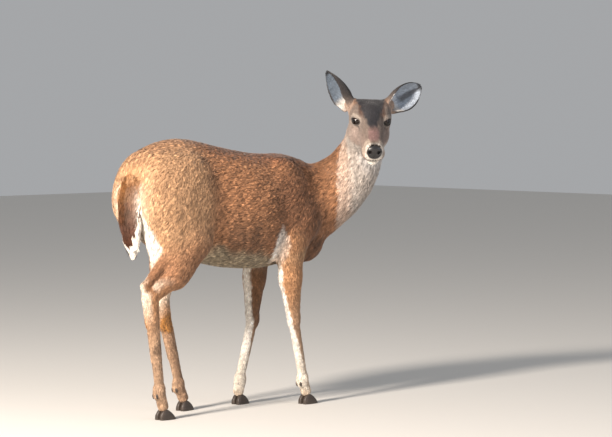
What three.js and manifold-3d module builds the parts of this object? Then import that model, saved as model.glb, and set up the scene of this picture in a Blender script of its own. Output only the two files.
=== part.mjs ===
// White-tailed doe, standing still and looking round over her right shoulder, as a life-size museum model.
// Millimetres. +X is the way the trunk faces, +Y her left, +Z up, and the hoof soles rest at z = 0.
// The flesh is one field of distances built from named masses that melt into each other; it is turned into a
// surface, thinned to few triangles, and parted into the pieces a person would name by cuts of CUT_GAP.

import * as THREE from "three";
import { MeshoptSimplifier } from "three/addons/libs/meshopt_simplifier.module.js";
import { surfaceNet } from "three/addons/libs/surfaceNet.js";
import Module from "manifold-3d";

// ---------------------------------------------------------------- driving sizes

const CUT_GAP = 0.5; // between neighbouring pieces
const LEFT = 1;
const RIGHT = -1;
const SIDES = { left: LEFT, right: RIGHT };

// Trunk from rump to breast: along x, top line, belly line, half width, and where it is widest (share of height).
const TRUNK_POWER = 2.3; // 2 is an ellipse, more is squarer
const TRUNK = [
  [-398, 736, 676, 40, 0.5], // end of the rump
  [-384, 804, 641, 82, 0.5], // tail root
  [-360, 844, 606, 98, 0.5],
  [-318, 874, 568, 106, 0.5], // haunch
  [-260, 893, 536, 110, 0.5],
  [-195, 899, 516, 110, 0.5], // croup, the highest place of the back
  [-120, 889, 494, 112, 0.47], // flank
  [-40, 872, 476, 124, 0.45], // loin
  [40, 858, 466, 134, 0.45], // widest of the ribs
  [120, 847, 462, 131, 0.46],
  [190, 844, 466, 118, 0.48], // girth
  [250, 843, 476, 104, 0.5], // withers
  [300, 832, 492, 94, 0.5],
  [350, 812, 510, 84, 0.5], // shoulder
  [395, 768, 536, 66, 0.5],
  [425, 706, 596, 44, 0.5], // breast
];

// Neck, bent round to her right: centre line, half depth, and half width as a share of the half depth.
const NECK = [
  { at: [345, 0, 681], depth: 124, share: 0.74 },
  { at: [418, -17, 684], depth: 116, share: 0.72 },
  { at: [465, -49, 716], depth: 100, share: 0.74 },
  { at: [495, -86, 762], depth: 88, share: 0.76 },
  { at: [505, -120, 812], depth: 80, share: 0.77 },
  { at: [502, -150, 860], depth: 71, share: 0.84 },
  { at: [488, -176, 901], depth: 65, share: 0.88 },
  { at: [474, -202, 926], depth: 58, share: 0.92 },
];

// Head, in a frame of its own: origin midway between the eyes, +X to the nose, +Y her left, +Z to the crown.
const HEAD_AT = [444, -247, 956];
const HEAD_TURN = [-129.8, -26, -2]; // yaw, pitch (nose up is positive), roll; degrees
const HEAD_POWER = 2.4;
const HEAD = [
  [-118, 0, -55, 34, 0.5], // back of the skull
  [-100, 24, -82, 47, 0.5],
  [-75, 38, -100, 55, 0.5], // crown
  [-48, 43, -107, 59, 0.46], // angle of the jaw
  [-20, 47, -107, 55, 0.42],
  [5, 43, -105, 50, 0.36], // eyes
  [28, 35, -101, 44, 0.38],
  [52, 25, -96, 40.5, 0.44],
  [80, 12, -91, 37.5, 0.46], // bridge
  [105, 1, -90, 35, 0.46],
  [128, -8, -88, 34, 0.46], // lips
  [148, -15, -80, 30, 0.46],
  [162, -25, -64, 21, 0.5], // nose
];
const EYE_AT = [4, 47, -3];
const EYE_RADIUS = 17;
const NOSE_AT = [165, 0, -39];
const NOSE_SIZE = [17, 27, 26];

// Ears: a cupped leaf on a bowed ridge, from the root on the skull to the tip.
const EAR_ROOT = [-84, 53, 6];
const EAR_TIP = { left: [-165, 180, 51], right: [-161, -145, 100] };
const EAR_OPENS = { left: [0.82, 0.22, 0.3], right: [0.6, -0.76, -0.24] };
const EAR_PLACES = [0, 0.12, 0.3, 0.5, 0.7, 0.85, 0.95, 1]; // shares of its length
const EAR_HALF_WIDTH = [29, 34, 41, 45, 39, 26, 12.5, 2];
const EAR_WRAP = [150, 130, 108, 90, 78, 66, 58, 54]; // half the angle the leaf wraps round, degrees
const EAR_THICKNESS = [17, 12, 6, 5, 4.2, 3.4, 2.6, 2.2];
const EAR_BOW = 13;
const EAR_SET_BACK = 12;

// Joints of the legs.
const FORE = {
  left: { shoulder: [340, 84, 626], elbow: [226, 86, 524], knee: [208, 83, 282], fetlock: [146, 76, 81], hoof: [142, 75, 34] },
  right: { shoulder: [345, -84, 626], elbow: [212, -88, 528], knee: [242, -82, 290], fetlock: [289, -77, 84], hoof: [312, -75, 34] },
};
const HIND = {
  left: {
    hip: [-285, 72, 751],
    stifle: [-108, 108, 620],
    hock: [-207, 72, 371],
    point: [-240, 73, 400],
    fetlock: [-135, 70, 84],
    hoof: [-112, 68, 34],
  },
  right: {
    hip: [-285, -72, 751],
    stifle: [-178, -108, 566],
    hock: [-383, -80, 397],
    point: [-407, -79, 433],
    fetlock: [-343, -76, 92],
    hoof: [-322, -75, 34],
  },
};

// Tail: flattened fore and aft, hanging against the rump.
const TAIL = [
  { at: [-346, 0, 824], half: 22 },
  { at: [-374, 0, 797], half: 31 },
  { at: [-395, 0, 751], half: 41 },
  { at: [-402, 0, 691], half: 50 },
  { at: [-399, 0, 631], half: 50 },
  { at: [-393, 0, 576], half: 37 },
  { at: [-384, 0, 506], half: 7 },
];
const TAIL_FLAT = 0.4;
const TAIL_ROOM = 9; // level of the tail's field that its bed in the haunches is cut to

// Hooves: each foot has two claws on the ground and two dewclaws behind the fetlock.
const CLAW_PLACES = [-25, -17, -3, 14, 27, 34]; // heel to toe
const CLAW_HEIGHT = [18, 29, 34, 26, 14, 6];
const CLAW_HALF_WIDTH = [7, 9.7, 10, 8.8, 5.8, 2.5];
const CLAW_SPREAD = 10.6; // each claw's middle from the middle of the foot
const CLAW_TOE_IN = 0.03;
const FOOT_TURN_OUT = { fore: 5, hind: 6 }; // degrees
const DEWCLAW_BACK = 20;
const DEWCLAW_DOWN = 12;
const DEWCLAW_SPREAD = 10;
const DEWCLAW_SIZE = [7, 6.5, 10];

// Cell of the surface nets, how closely the thinned surface keeps to them, and the most triangles of each.
const BODY_CELL = 9;
const HEAD_CELL = 5;
const TAIL_CELL = 6;
const BODY_TRIANGLES = 3580;
const HEAD_TRIANGLES = 1700;
const TAIL_TRIANGLES = 240;
const KEEP_WITHIN = 3;
const TIDY_WITHIN = 0.2; // after a cut, slivers are taken out to this

// ---------------------------------------------------------------- small vector helpers

const add = (a, b) => [a[0] + b[0], a[1] + b[1], a[2] + b[2]];
const sub = (a, b) => [a[0] - b[0], a[1] - b[1], a[2] - b[2]];
const times = (a, k) => [a[0] * k, a[1] * k, a[2] * k];
const dot = (a, b) => a[0] * b[0] + a[1] * b[1] + a[2] * b[2];
const cross = (a, b) => [a[1] * b[2] - a[2] * b[1], a[2] * b[0] - a[0] * b[2], a[0] * b[1] - a[1] * b[0]];
const unit = (a) => times(a, 1 / Math.hypot(...a));
const mix = (a, b, t) => add(times(a, 1 - t), times(b, t));
const radians = (degrees) => (degrees * Math.PI) / 180;

/** The three turned axes of a frame: yaw about Z, then pitch with the nose up, then roll. */
function turnedAxes([yaw, pitch, roll]) {
  const turn = new THREE.Matrix4().makeRotationZ(radians(yaw));
  turn.multiply(new THREE.Matrix4().makeRotationY(-radians(pitch)));
  turn.multiply(new THREE.Matrix4().makeRotationX(radians(roll)));
  const e = turn.elements;
  return [
    [e[0], e[1], e[2]],
    [e[4], e[5], e[6]],
    [e[8], e[9], e[10]],
  ];
}

/** A smooth curve through stations, cubic between them. */
function curveThrough(xs, ys) {
  const last = xs.length - 1;
  const slopes = xs.map((x, i) => {
    if (i === 0) return (ys[1] - ys[0]) / (xs[1] - xs[0]);
    if (i === last) return (ys[last] - ys[last - 1]) / (xs[last] - xs[last - 1]);
    const before = xs[i] - xs[i - 1];
    const after = xs[i + 1] - xs[i];
    const span = before + after;
    const ahead = (ys[i + 1] - ys[i]) / after;
    const behind = (ys[i] - ys[i - 1]) / before;
    return (ahead * before + behind * after) / span;
  });
  return (x) => {
    let i = 0;
    while (i < last - 1 && x > xs[i + 1]) i += 1;
    const width = xs[i + 1] - xs[i];
    const t = Math.min(Math.max((x - xs[i]) / width, 0), 1);
    const s = 1 - t;
    const ends = ys[i] * (1 + 2 * t) * s * s + ys[i + 1] * t * t * (3 - 2 * t);
    return ends + slopes[i] * width * t * s * s - slopes[i + 1] * width * t * t * s;
  };
}

// ---------------------------------------------------------------- masses of the field

/** Smooth union of two distances: they melt together over `reach`. */
function melt(a, b, reach) {
  const h = Math.max(reach - Math.abs(a - b), 0) / reach;
  return Math.min(a, b) - (h * h * reach) / 4;
}

/** A tapered rod from one point to another, flattened to `flat` along `side`. */
function limb(from, to, fromRadius, toRadius, { flat = 1, side = [0, 1, 0], blend = 15 } = {}) {
  const [sx, sy, sz] = unit(side);
  const [dx, dy, dz] = sub(to, from);
  const length2 = dx * dx + dy * dy + dz * dz;
  const stretch = 1 / flat - 1;
  const distance = (x, y, z) => {
    const px = x - from[0];
    const py = y - from[1];
    const pz = z - from[2];
    const t = Math.min(Math.max((px * dx + py * dy + pz * dz) / length2, 0), 1);
    const qx = px - t * dx;
    const qy = py - t * dy;
    const qz = pz - t * dz;
    const w = (qx * sx + qy * sy + qz * sz) * stretch;
    const away = Math.hypot(qx + w * sx, qy + w * sy, qz + w * sz);
    return away - (fromRadius + (toRadius - fromRadius) * t);
  };
  return { distance, blend };
}

/** An egg of three half sizes, turned by yaw, pitch and roll. */
function lump(at, size, { turn = [0, 0, 0], blend = 30 } = {}) {
  const [u, v, w] = turnedAxes(turn);
  const distance = (x, y, z) => {
    const p = [x - at[0], y - at[1], z - at[2]];
    const a = dot(p, u) / size[0];
    const b = dot(p, v) / size[1];
    const c = dot(p, w) / size[2];
    const k0 = Math.hypot(a, b, c);
    const k1 = Math.hypot(a / size[0], b / size[1], c / size[2]);
    return (k0 * (k0 - 1)) / Math.max(k1, 1e-9);
  };
  return { distance, blend };
}

/** Sections along x given as [x, top, bottom, half width, share of the height where it is widest]. */
function loft(stations, power) {
  const xs = stations.map((s) => s[0]);
  const [top, bottom, width, share] = [1, 2, 3, 4].map((k) => curveThrough(xs, stations.map((s) => s[k])));
  const distance = (x, y, z) => {
    const along = Math.min(Math.max(x, xs[0]), xs[xs.length - 1]);
    const high = top(along);
    const low = bottom(along);
    const half = Math.max(width(along), 1);
    const middle = low + (high - low) * share(along);
    const up = z - middle;
    const reach = Math.max(up > 0 ? high - middle : middle - low, 1);
    const q = ((Math.abs(y) / half) ** power + (Math.abs(up) / reach) ** power) ** (1 / power);
    const inPlane = q > 1e-3 ? ((q - 1) * Math.hypot(y, up)) / q : -Math.min(half, reach);
    const past = Math.abs(x - along);
    return past > 0 ? Math.hypot(Math.max(inPlane, 0), past) : inPlane;
  };
  return { distance, blend: 1 };
}

/** The distance to a list of masses melted together in order. */
function melted(masses) {
  return (x, y, z) => {
    let d = 1000;
    for (const mass of masses) d = melt(d, mass.distance(x, y, z), mass.blend);
    return d;
  };
}

// ---------------------------------------------------------------- the doe's masses

function trunkMasses() {
  const masses = [loft(TRUNK, TRUNK_POWER)];
  for (const s of [LEFT, RIGHT]) {
    masses.push(lump([-300, s * 58, 740], [92, 64, 108], { blend: 40 })); // rump
    masses.push(lump([232, s * 76, 708], [66, 32, 128], { turn: [0, 16, 0], blend: 45 })); // shoulder blade
    masses.push(lump([272, s * 70, 622], [78, 40, 64], { blend: 44 })); // upper arm
  }
  masses.push(limb([402, -10, 668], [366, 0, 550], 100, 79, { flat: 0.74, blend: 40 })); // breast
  return masses;
}

function neckMasses() {
  return NECK.slice(1).map((to, i) => {
    const from = NECK[i];
    const side = cross(sub(to.at, from.at), [0, 0, 1]);
    return limb(from.at, to.at, from.depth, to.depth, { flat: from.share, side, blend: 34 });
  });
}

/** The fetlock and pastern, the same on every leg. */
function footMasses(joint, radius) {
  return [
    limb(add(joint.fetlock, [-2, 0, 8]), add(joint.fetlock, [-5, 0, -8]), radius + 1, radius, { flat: 0.95, blend: 10 }),
    limb(joint.fetlock, add(joint.hoof, [-6, 0, 10]), 18, 18, { flat: 1.08, blend: 10 }),
  ];
}

function foreMasses(s, joint) {
  const { shoulder, elbow, knee, fetlock } = joint;
  return [
    limb(add(shoulder, [-45, -s * 14, 0]), add(elbow, [22, 0, 5]), 60, 48, { flat: 0.62, blend: 40 }),
    limb(add(elbow, [10, 0, 20]), mix(elbow, knee, 0.45), 56, 42, { flat: 0.74, blend: 30 }),
    limb(mix(elbow, knee, 0.4), add(knee, [-2, 0, 20]), 44, 27, { flat: 0.74, blend: 14 }),
    lump(add(knee, [2, 0, 0]), [25, 20, 32], { blend: 12 }),
    limb(knee, add(fetlock, [0, 0, 14]), 20, 16.5, { flat: 0.86, blend: 10 }),
    ...footMasses(joint, 18.5),
  ];
}

function hindMasses(s, joint) {
  const { hip, stifle, hock, point, fetlock } = joint;
  const forward = stifle[0] - HIND.right.stifle[0]; // how far this thigh swings ahead of the other
  const hamstring = mix(mix(stifle, hock, 0.35), [-340, s * 66, 636], 0.35);
  return [
    lump([-222 + forward * 0.35, s * 74, 691 + forward * 0.2], [124, 61, 160], { blend: 30 }),
    limb(add(hip, [-15, 0, -60]), add(stifle, [-34, -s * 18, 12]), 100, 60, { flat: 0.56, blend: 36 }),
    limb([-326, s * 60, 716], mix(stifle, hock, 0.45), 68, 40, { flat: 0.7, blend: 34 }),
    limb([-345, s * 35, 646], add(mix(stifle, hock, 0.4), [-62, -s * 46, 7]), 40, 30, { flat: 0.8, blend: 24 }),
    limb(add(stifle, [-30, -s * 18, 2]), add(mix(stifle, hock, 0.56), [8, 0, -10]), 64, 46, { flat: 0.64, blend: 34 }),
    limb(add(mix(stifle, hock, 0.55), [5, 0, -6]), hock, 39, 26, { flat: 0.74, blend: 16 }),
    limb(hamstring, point, 34, 12, { flat: 0.7, blend: 20 }),
    limb(point, add(hock, [-2, 0, -6]), 15.5, 22, { flat: 0.8, blend: 10 }),
    limb(add(hock, [0, 0, 4]), add(hock, [4, 0, -80]), 26, 23, { flat: 0.8, blend: 12 }),
    limb(add(hock, [-3, 0, 0]), add(mix(hock, fetlock, 0.66), [-2, 0, 0]), 25, 16, { flat: 0.84, blend: 14 }),
    limb(hock, add(fetlock, [0, 0, 14]), 22, 17, { flat: 0.84, blend: 10 }),
    ...footMasses(joint, 19),
  ];
}

function headMasses() {
  const masses = [loft(HEAD, HEAD_POWER)];
  for (const s of [LEFT, RIGHT]) {
    masses.push(lump([-20, s * 37, -62], [50, 29, 44], { turn: [0, 12, 0], blend: 24 })); // jaw muscle
    masses.push(lump([-28, s * 47, -5], [42, 24, 28], { turn: [-s * 6, 0, 0], blend: 20 })); // orbit
    masses.push(limb([-40, s * 43, 22], [6, s * 45, 16], 13, 8, { blend: 24 })); // brow
    masses.push(limb([-34, s * 52, -24], [4, s * 48, -25], 12, 7, { blend: 16 })); // rim below the eye
    masses.push(lump([148, s * 15, -36], [15, 15, 17], { blend: 8 })); // nostril wing
    masses.push(lump([127, s * 21, -60], [25, 17, 19], { blend: 12 })); // upper lip
    masses.push(limb([-64, s * 36, 6], [-88, s * 60, 11], 28, 25, { blend: 26 })); // ear root
  }
  masses.push(lump([152, 0, -36], [16, 25, 20], { blend: 8 })); // nose pad
  masses.push(lump([127, 0, -87], [21, 19, 14], { blend: 8 })); // chin
  return masses;
}

function tailMasses() {
  return TAIL.slice(1).map((to, i) =>
    limb(TAIL[i].at, to.at, TAIL[i].half, to.half, { flat: TAIL_FLAT, side: [1, 0, 0.05], blend: 14 }),
  );
}

const HEAD_AXES = turnedAxes(HEAD_TURN);
const headMelted = melted(headMasses());
const restMelted = melted([
  ...trunkMasses(),
  ...neckMasses(),
  ...foreMasses(LEFT, FORE.left),
  ...hindMasses(LEFT, HIND.left),
  ...foreMasses(RIGHT, FORE.right),
  ...hindMasses(RIGHT, HIND.right),
]);
const HEAD_MELT = 26;
const HEAD_REACH = 240; // the head's masses matter no farther than this from its origin

/** A point of the head's frame in the doe's frame. */
function fromHead(p) {
  return HEAD_AXES.reduce((sum, axis, i) => add(sum, times(axis, p[i])), HEAD_AT);
}

/** Distance to the outside of the doe's coat, ears, tail and hooves left out; negative inside. */
function bodyDistance(x, y, z) {
  const rest = restMelted(x, y, z);
  const p = [x - HEAD_AT[0], y - HEAD_AT[1], z - HEAD_AT[2]];
  if (Math.hypot(...p) > HEAD_REACH) return rest;
  const [a, b, c] = HEAD_AXES.map((axis) => dot(p, axis));
  return melt(rest, headMelted(a, b, c), HEAD_MELT);
}

const tailDistance = melted(tailMasses());

// ---------------------------------------------------------------- field to solid

const wasm = await Module();
wasm.setup();
const { Manifold, Mesh } = wasm;
await MeshoptSimplifier.ready;

/** Moves a point along the field's slope until it lies on the given level. */
function settled(distance, point, level) {
  const h = 0.5;
  let [x, y, z] = point;
  for (let pass = 0; pass < 3; pass += 1) {
    const off = distance(x, y, z) - level;
    const gx = (distance(x + h, y, z) - distance(x - h, y, z)) / (2 * h);
    const gy = (distance(x, y + h, z) - distance(x, y - h, z)) / (2 * h);
    const gz = (distance(x, y, z + h) - distance(x, y, z - h)) / (2 * h);
    const step = off / Math.max(gx * gx + gy * gy + gz * gz, 0.2);
    x -= gx * step;
    y -= gy * step;
    z -= gz * step;
  }
  return [x, y, z];
}

/** The closed surface of a field between two corners, thinned, as a manifold solid. */
function solidOfField(distance, low, high, cell, most, level = 0) {
  const count = low.map((v, i) => Math.ceil((high[i] - v) / cell) + 1);
  const values = new Float32Array(count[0] * count[1] * count[2]);
  const at = (i, j, k) => i + count[0] * (j + count[1] * k);
  const edge = (i, n) => i === 0 || i >= n - 1;
  for (let k = 0; k < count[2]; k += 1) {
    for (let j = 0; j < count[1]; j += 1) {
      for (let i = 0; i < count[0]; i += 1) {
        const outside = edge(i, count[0]) || edge(j, count[1]) || edge(k, count[2]);
        const value = distance(low[0] + cell * i, low[1] + cell * j, low[2] + cell * k) - level;
        values[at(i, j, k)] = outside ? Math.max(value, 0.02) : value;
      }
    }
  }
  const net = surfaceNet(count, (i, j, k) => values[at(i, j, k)]);
  const corner = net.positions.map((p) => add(low, times(p, cell)));
  const placed = corner.map((p) => {
    const end = settled(distance, p, level);
    return Math.hypot(...sub(end, p)) < cell ? end : p;
  });
  const positions = new Float32Array(placed.flat());
  const indices = new Uint32Array(net.cells.flat());
  const wanted = Math.min(most * 3, indices.length);
  const [thin] = MeshoptSimplifier.simplify(indices, positions, 3, wanted, KEEP_WITHIN, ["ErrorAbsolute"]);
  return solidFrom(positions, thin);
}

/** A manifold solid from positions and triangle corners. */
function solidFrom(positions, corners) {
  const used = new Map();
  const kept = [];
  const triVerts = new Uint32Array(corners.length);
  corners.forEach((corner, i) => {
    if (!used.has(corner)) {
      used.set(corner, used.size);
      kept.push(positions[3 * corner], positions[3 * corner + 1], positions[3 * corner + 2]);
    }
    triVerts[i] = used.get(corner);
  });
  const solid = new Manifold(new Mesh({ numProp: 3, vertProperties: new Float32Array(kept), triVerts }));
  if (solid.volume() < 0) throw new Error("a solid is inside out");
  return solid;
}

/** A manifold solid from a three.js geometry. */
function solidOfGeometry(geometry) {
  const seen = new Map();
  const positions = [];
  const names = [];
  const p = geometry.getAttribute("position");
  for (let i = 0; i < p.count; i += 1) {
    const key = [p.getX(i), p.getY(i), p.getZ(i)].map((v) => v.toFixed(3)).join();
    if (!seen.has(key)) {
      seen.set(key, seen.size);
      positions.push(p.getX(i), p.getY(i), p.getZ(i));
    }
    names.push(seen.get(key));
  }
  const index = geometry.index ? Array.from(geometry.index.array) : names.map((_, i) => i);
  const corners = [];
  for (let i = 0; i < index.length; i += 3) {
    const triangle = index.slice(i, i + 3).map((v) => names[v]);
    if (new Set(triangle).size === 3) corners.push(...triangle);
  }
  return solidFrom(positions, corners);
}

/** The largest separate body of a solid, so that no crumb of a cut is kept. */
function largest(solid) {
  return solid.decompose().sort((a, b) => b.volume() - a.volume())[0];
}

/** The same solid without the slivers that cuts leave. */
function tidied(solid) {
  const mesh = solid.getMesh();
  const positions = new Float32Array((mesh.vertProperties.length / mesh.numProp) * 3);
  for (let i = 0; i < positions.length; i += 1) {
    positions[i] = mesh.vertProperties[Math.floor(i / 3) * mesh.numProp + (i % 3)];
  }
  const corners = new Uint32Array(mesh.triVerts);
  const [thin] = MeshoptSimplifier.simplify(corners, positions, 3, 0, TIDY_WITHIN, ["ErrorAbsolute"]);
  return solidFrom(positions, thin);
}

/** A box whose near face lies on a plane; it reaches `deep` beyond it and `wide` to either side. */
function blockBeyond(point, normal, wide, deep) {
  const box = new THREE.BoxGeometry(2 * wide, 2 * wide, deep);
  box.translate(0, 0, deep / 2);
  const turn = new THREE.Quaternion().setFromUnitVectors(new THREE.Vector3(0, 0, 1), new THREE.Vector3(...unit(normal)));
  box.applyQuaternion(turn);
  box.translate(...point);
  return solidOfGeometry(box);
}

/** Parts a solid at a plane, only inside the block beyond it: [what lies beyond, the rest]. */
function parted(solid, point, normal, wide, deep) {
  const half = times(unit(normal), CUT_GAP / 2);
  const beyond = solid.intersect(blockBeyond(add(point, half), normal, wide, deep));
  const rest = solid.subtract(blockBeyond(sub(point, half), normal, wide + CUT_GAP, deep + CUT_GAP));
  return [largest(beyond), largest(rest)];
}

// ---------------------------------------------------------------- ears, eyes and hooves

/** An ear as a closed leaf: rings of the outer and the inner arc, from root to tip; `grown` swells it. */
function earSolid(name, grown = 0) {
  const s = SIDES[name];
  const rings = 12;
  const across = 7;
  const root = [EAR_ROOT[0], s * EAR_ROOT[1], EAR_ROOT[2]];
  const axis = unit(sub(EAR_TIP[name], root));
  const length = Math.hypot(...sub(EAR_TIP[name], root));
  const opens = unit(sub(EAR_OPENS[name], times(axis, dot(EAR_OPENS[name], axis))));
  const side = cross(axis, opens);
  const halfWidth = curveThrough(EAR_PLACES, EAR_HALF_WIDTH);
  const wrap = curveThrough(EAR_PLACES, EAR_WRAP);
  const thickness = curveThrough(EAR_PLACES, EAR_THICKNESS);
  const positions = [];
  for (let k = 0; k < rings; k += 1) {
    const u = k / (rings - 1);
    const angle = radians(wrap(u));
    const radius = halfWidth(u) / Math.sin(Math.min(angle, Math.PI / 2));
    const inner = Math.max(radius - thickness(u) - grown, 0.5);
    const back = -EAR_BOW * Math.sin(Math.PI * u) - EAR_SET_BACK * (1 - u);
    const ridge = add(add(root, times(axis, length * u - (k === 0 ? grown : 0))), times(opens, back));
    const arc = (r, t) => {
      const out = times(side, r * Math.sin(t));
      return fromHead(add(add(ridge, out), times(opens, radius - r * Math.cos(t))));
    };
    const outerEnd = angle + grown / radius;
    const innerEnd = 0.97 * angle + grown / inner;
    for (let i = 0; i < across; i += 1) positions.push(...arc(radius + grown, ((2 * i) / (across - 1) - 1) * outerEnd));
    for (let i = across - 1; i >= 0; i -= 1) positions.push(...arc(inner, ((2 * i) / (across - 1) - 1) * innerEnd));
  }
  return solidFrom(positions, ringCorners(rings, 2 * across, true));
}

/** Triangle corners of a tube of rings with both ends closed by strips across. */
function ringCorners(rings, around, flip = false) {
  const corners = [];
  const quad = (a, b, c, d) => corners.push(...(flip ? [a, c, b, a, d, c] : [a, b, c, a, c, d]));
  for (let k = 0; k < rings - 1; k += 1) {
    for (let i = 0; i < around; i += 1) {
      const next = (i + 1) % around;
      quad(k * around + i, k * around + next, (k + 1) * around + next, (k + 1) * around + i);
    }
  }
  const last = (rings - 1) * around;
  for (let i = 0; i < around / 2 - 1; i += 1) {
    const [a, b, c, d] = [i, i + 1, around - 2 - i, around - 1 - i];
    quad(d, c, b, a);
    quad(last + a, last + b, last + c, last + d);
  }
  return corners;
}

/** One claw of a hoof: D-shaped sections from heel to toe on a flat sole; `grown` swells it. */
function clawSolid(at, turn, s, grown = 0) {
  const section = [
    [-1, 0],
    [-0.98, 0.6],
    [-0.5, 1],
    [0.5, 1],
    [0.98, 0.6],
    [1, 0],
  ];
  const last = CLAW_PLACES.length - 1;
  const positions = [];
  CLAW_PLACES.forEach((x, k) => {
    const along = x + (k === 0 ? -grown : 0) + (k === last ? grown : 0);
    const lean = -s * (x - CLAW_PLACES[0]) * CLAW_TOE_IN;
    for (const [across, up] of section) {
      const flatter = across * s > 0 ? 1 : 0.8; // the claw's inner side is the flatter one
      const y = lean + across * (CLAW_HALF_WIDTH[k] * flatter + grown);
      positions.push(along, y, up > 0 ? up * (CLAW_HEIGHT[k] + grown) : -grown);
    }
  });
  const geometry = new THREE.BufferGeometry();
  geometry.setAttribute("position", new THREE.Float32BufferAttribute(positions, 3));
  geometry.setIndex(ringCorners(last + 1, section.length, true));
  geometry.rotateZ(radians(turn));
  geometry.translate(at[0], at[1], 0);
  return solidOfGeometry(geometry);
}

/** A ball stretched to three half sizes. */
function ballSolid(at, size, around = 12, up = 8) {
  const ball = new THREE.SphereGeometry(1, around, up);
  ball.scale(...size);
  ball.translate(...at);
  return solidOfGeometry(ball);
}

/** The egg of the nose pad, in the head's frame. */
function noseEgg(grown) {
  const egg = new THREE.SphereGeometry(1, 16, 10);
  egg.scale(...NOSE_SIZE.map((v) => v + grown));
  egg.applyMatrix4(new THREE.Matrix4().makeBasis(...HEAD_AXES.map((a) => new THREE.Vector3(...a))));
  egg.translate(...fromHead(NOSE_AT));
  return solidOfGeometry(egg);
}

// ---------------------------------------------------------------- the pieces

const pieces = new Map();
const colours = {
  back: { color: 0x9a7350, roughness: 0.9 },
  pale: { color: 0xc9a98a, roughness: 0.9 },
  grey: { color: 0x6d6660, roughness: 0.9 },
  nose: { color: 0x1c1a1b, roughness: 0.35 },
  eye: { color: 0x1f120b, roughness: 0.08 },
  hoof: { color: 0x2e2925, roughness: 0.5 },
};

function keep(name, solid, colour) {
  const whole = tidied(solid);
  if (whole.decompose().length !== 1) throw new Error(`${name} is not one body`);
  pieces.set(name, { solid: whole, ...colours[colour] });
}

let body = solidOfField(bodyDistance, [-452, -196, -6], [606, 190, 990], BODY_CELL, BODY_TRIANGLES);
let head = solidOfField(bodyDistance, [300, -420, 780], [600, -80, 1075], HEAD_CELL, HEAD_TRIANGLES);
let tail = solidOfField(tailDistance, [-440, -60, 480], [-320, 60, 870], TAIL_CELL, TAIL_TRIANGLES);
const tailRoom = solidOfField(tailDistance, [-440, -66, 480], [-320, 66, 870], TAIL_CELL, 2 * TAIL_TRIANGLES, TAIL_ROOM);

// The head is parted from the neck behind the jaw, square to the neck.
const THROAT = [499, -176, 893];
const THROAT_WAY = [-0.36, -0.6, 0.71];
[head] = parted(head, THROAT, THROAT_WAY, 170, 400);
[, body] = parted(body, THROAT, THROAT_WAY, 170, 400);
const [neck, trunk] = parted(body, [412, -15, 725], [0.74, -0.25, 0.62], 260, 300);
keep("neck", neck, "pale");

// Head: sockets for the eyes, seats for the ears, and the nose pad taken off the muzzle.
keep("nose", largest(head.intersect(noseEgg(0))), "nose");
head = head.subtract(noseEgg(CUT_GAP));
for (const [name, s] of Object.entries(SIDES)) {
  const at = fromHead([EYE_AT[0], s * EYE_AT[1], EYE_AT[2]]);
  const size = [EYE_RADIUS, EYE_RADIUS, EYE_RADIUS];
  keep(`eye_${name}`, ballSolid(at, size), "eye");
  head = head.subtract(ballSolid(at, size.map((v) => v + CUT_GAP + 0.3)));
  keep(`ear_${name}`, earSolid(name), "grey");
  head = head.subtract(earSolid(name, 2 * CUT_GAP));
}
keep("head", largest(head), "grey");

// Legs: each is taken off below the trunk, then parted at knee or hock, and at the fetlock.
let quarters = trunk;
for (const [name, s] of Object.entries(SIDES)) {
  for (const [pair, joint] of [
    ["fore", FORE[name]],
    ["hind", HIND[name]],
  ]) {
    const middle = pair === "fore" ? joint.knee : joint.hock;
    const upper = pair === "fore" ? joint.elbow : joint.stifle;
    const topHeight = pair === "fore" ? 468 : 492;
    const share = (upper[2] - topHeight) / (upper[2] - middle[2]);
    const top = mix(upper, middle, share);
    let leg;
    [leg, quarters] = parted(quarters, [top[0] - (pair === "hind" ? 25 : 0), s * 108, topHeight], [0, 0, -1], 105, 600);
    let [cannon, upperLeg] = parted(leg, add(middle, [0, 0, -34]), sub(joint.fetlock, middle), 90, 500);
    let [foot, shank] = parted(cannon, add(joint.fetlock, [0, 0, 20]), sub(joint.fetlock, middle), 90, 300);
    const turn = s * FOOT_TURN_OUT[pair];
    for (const [which, e] of [
      ["outer", s],
      ["inner", -s],
    ]) {
      const clawAt = [joint.hoof[0] + 2, joint.hoof[1] + e * CLAW_SPREAD];
      keep(`${pair}_claw_${name}_${which}`, clawSolid(clawAt, turn, e), "hoof");
      foot = foot.subtract(clawSolid(clawAt, turn, e, CUT_GAP));
      const dewAt = add(joint.fetlock, [-DEWCLAW_BACK, e * DEWCLAW_SPREAD, -DEWCLAW_DOWN]);
      keep(`${pair}_dewclaw_${name}_${which}`, ballSolid(dewAt, DEWCLAW_SIZE, 6, 5), "hoof");
      foot = foot.subtract(ballSolid(dewAt, DEWCLAW_SIZE.map((v) => v + CUT_GAP + 0.2), 6, 5));
    }
    keep(pair === "fore" ? `forearm_${name}` : `gaskin_${name}`, upperLeg, "pale");
    keep(`${pair}_cannon_${name}`, shank, "pale");
    keep(`${pair}_foot_${name}`, largest(foot), "pale");
  }
}

// Trunk: haunches, barrel and shoulders; the tail hangs in a shallow bed of its own.
quarters = quarters.subtract(tailRoom);
const [shoulders, behind] = parted(largest(quarters), [165, 0, 650], [1, 0, 0], 600, 500);
const [barrel, haunches] = parted(behind, [-125, 0, 650], [1, 0, 0], 600, 500);
keep("shoulders", shoulders, "back");
keep("barrel", barrel, "back");
keep("haunches", haunches, "back");
keep("tail", largest(tail), "back");

// ---------------------------------------------------------------- meshes, with the origin under the middle

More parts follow.
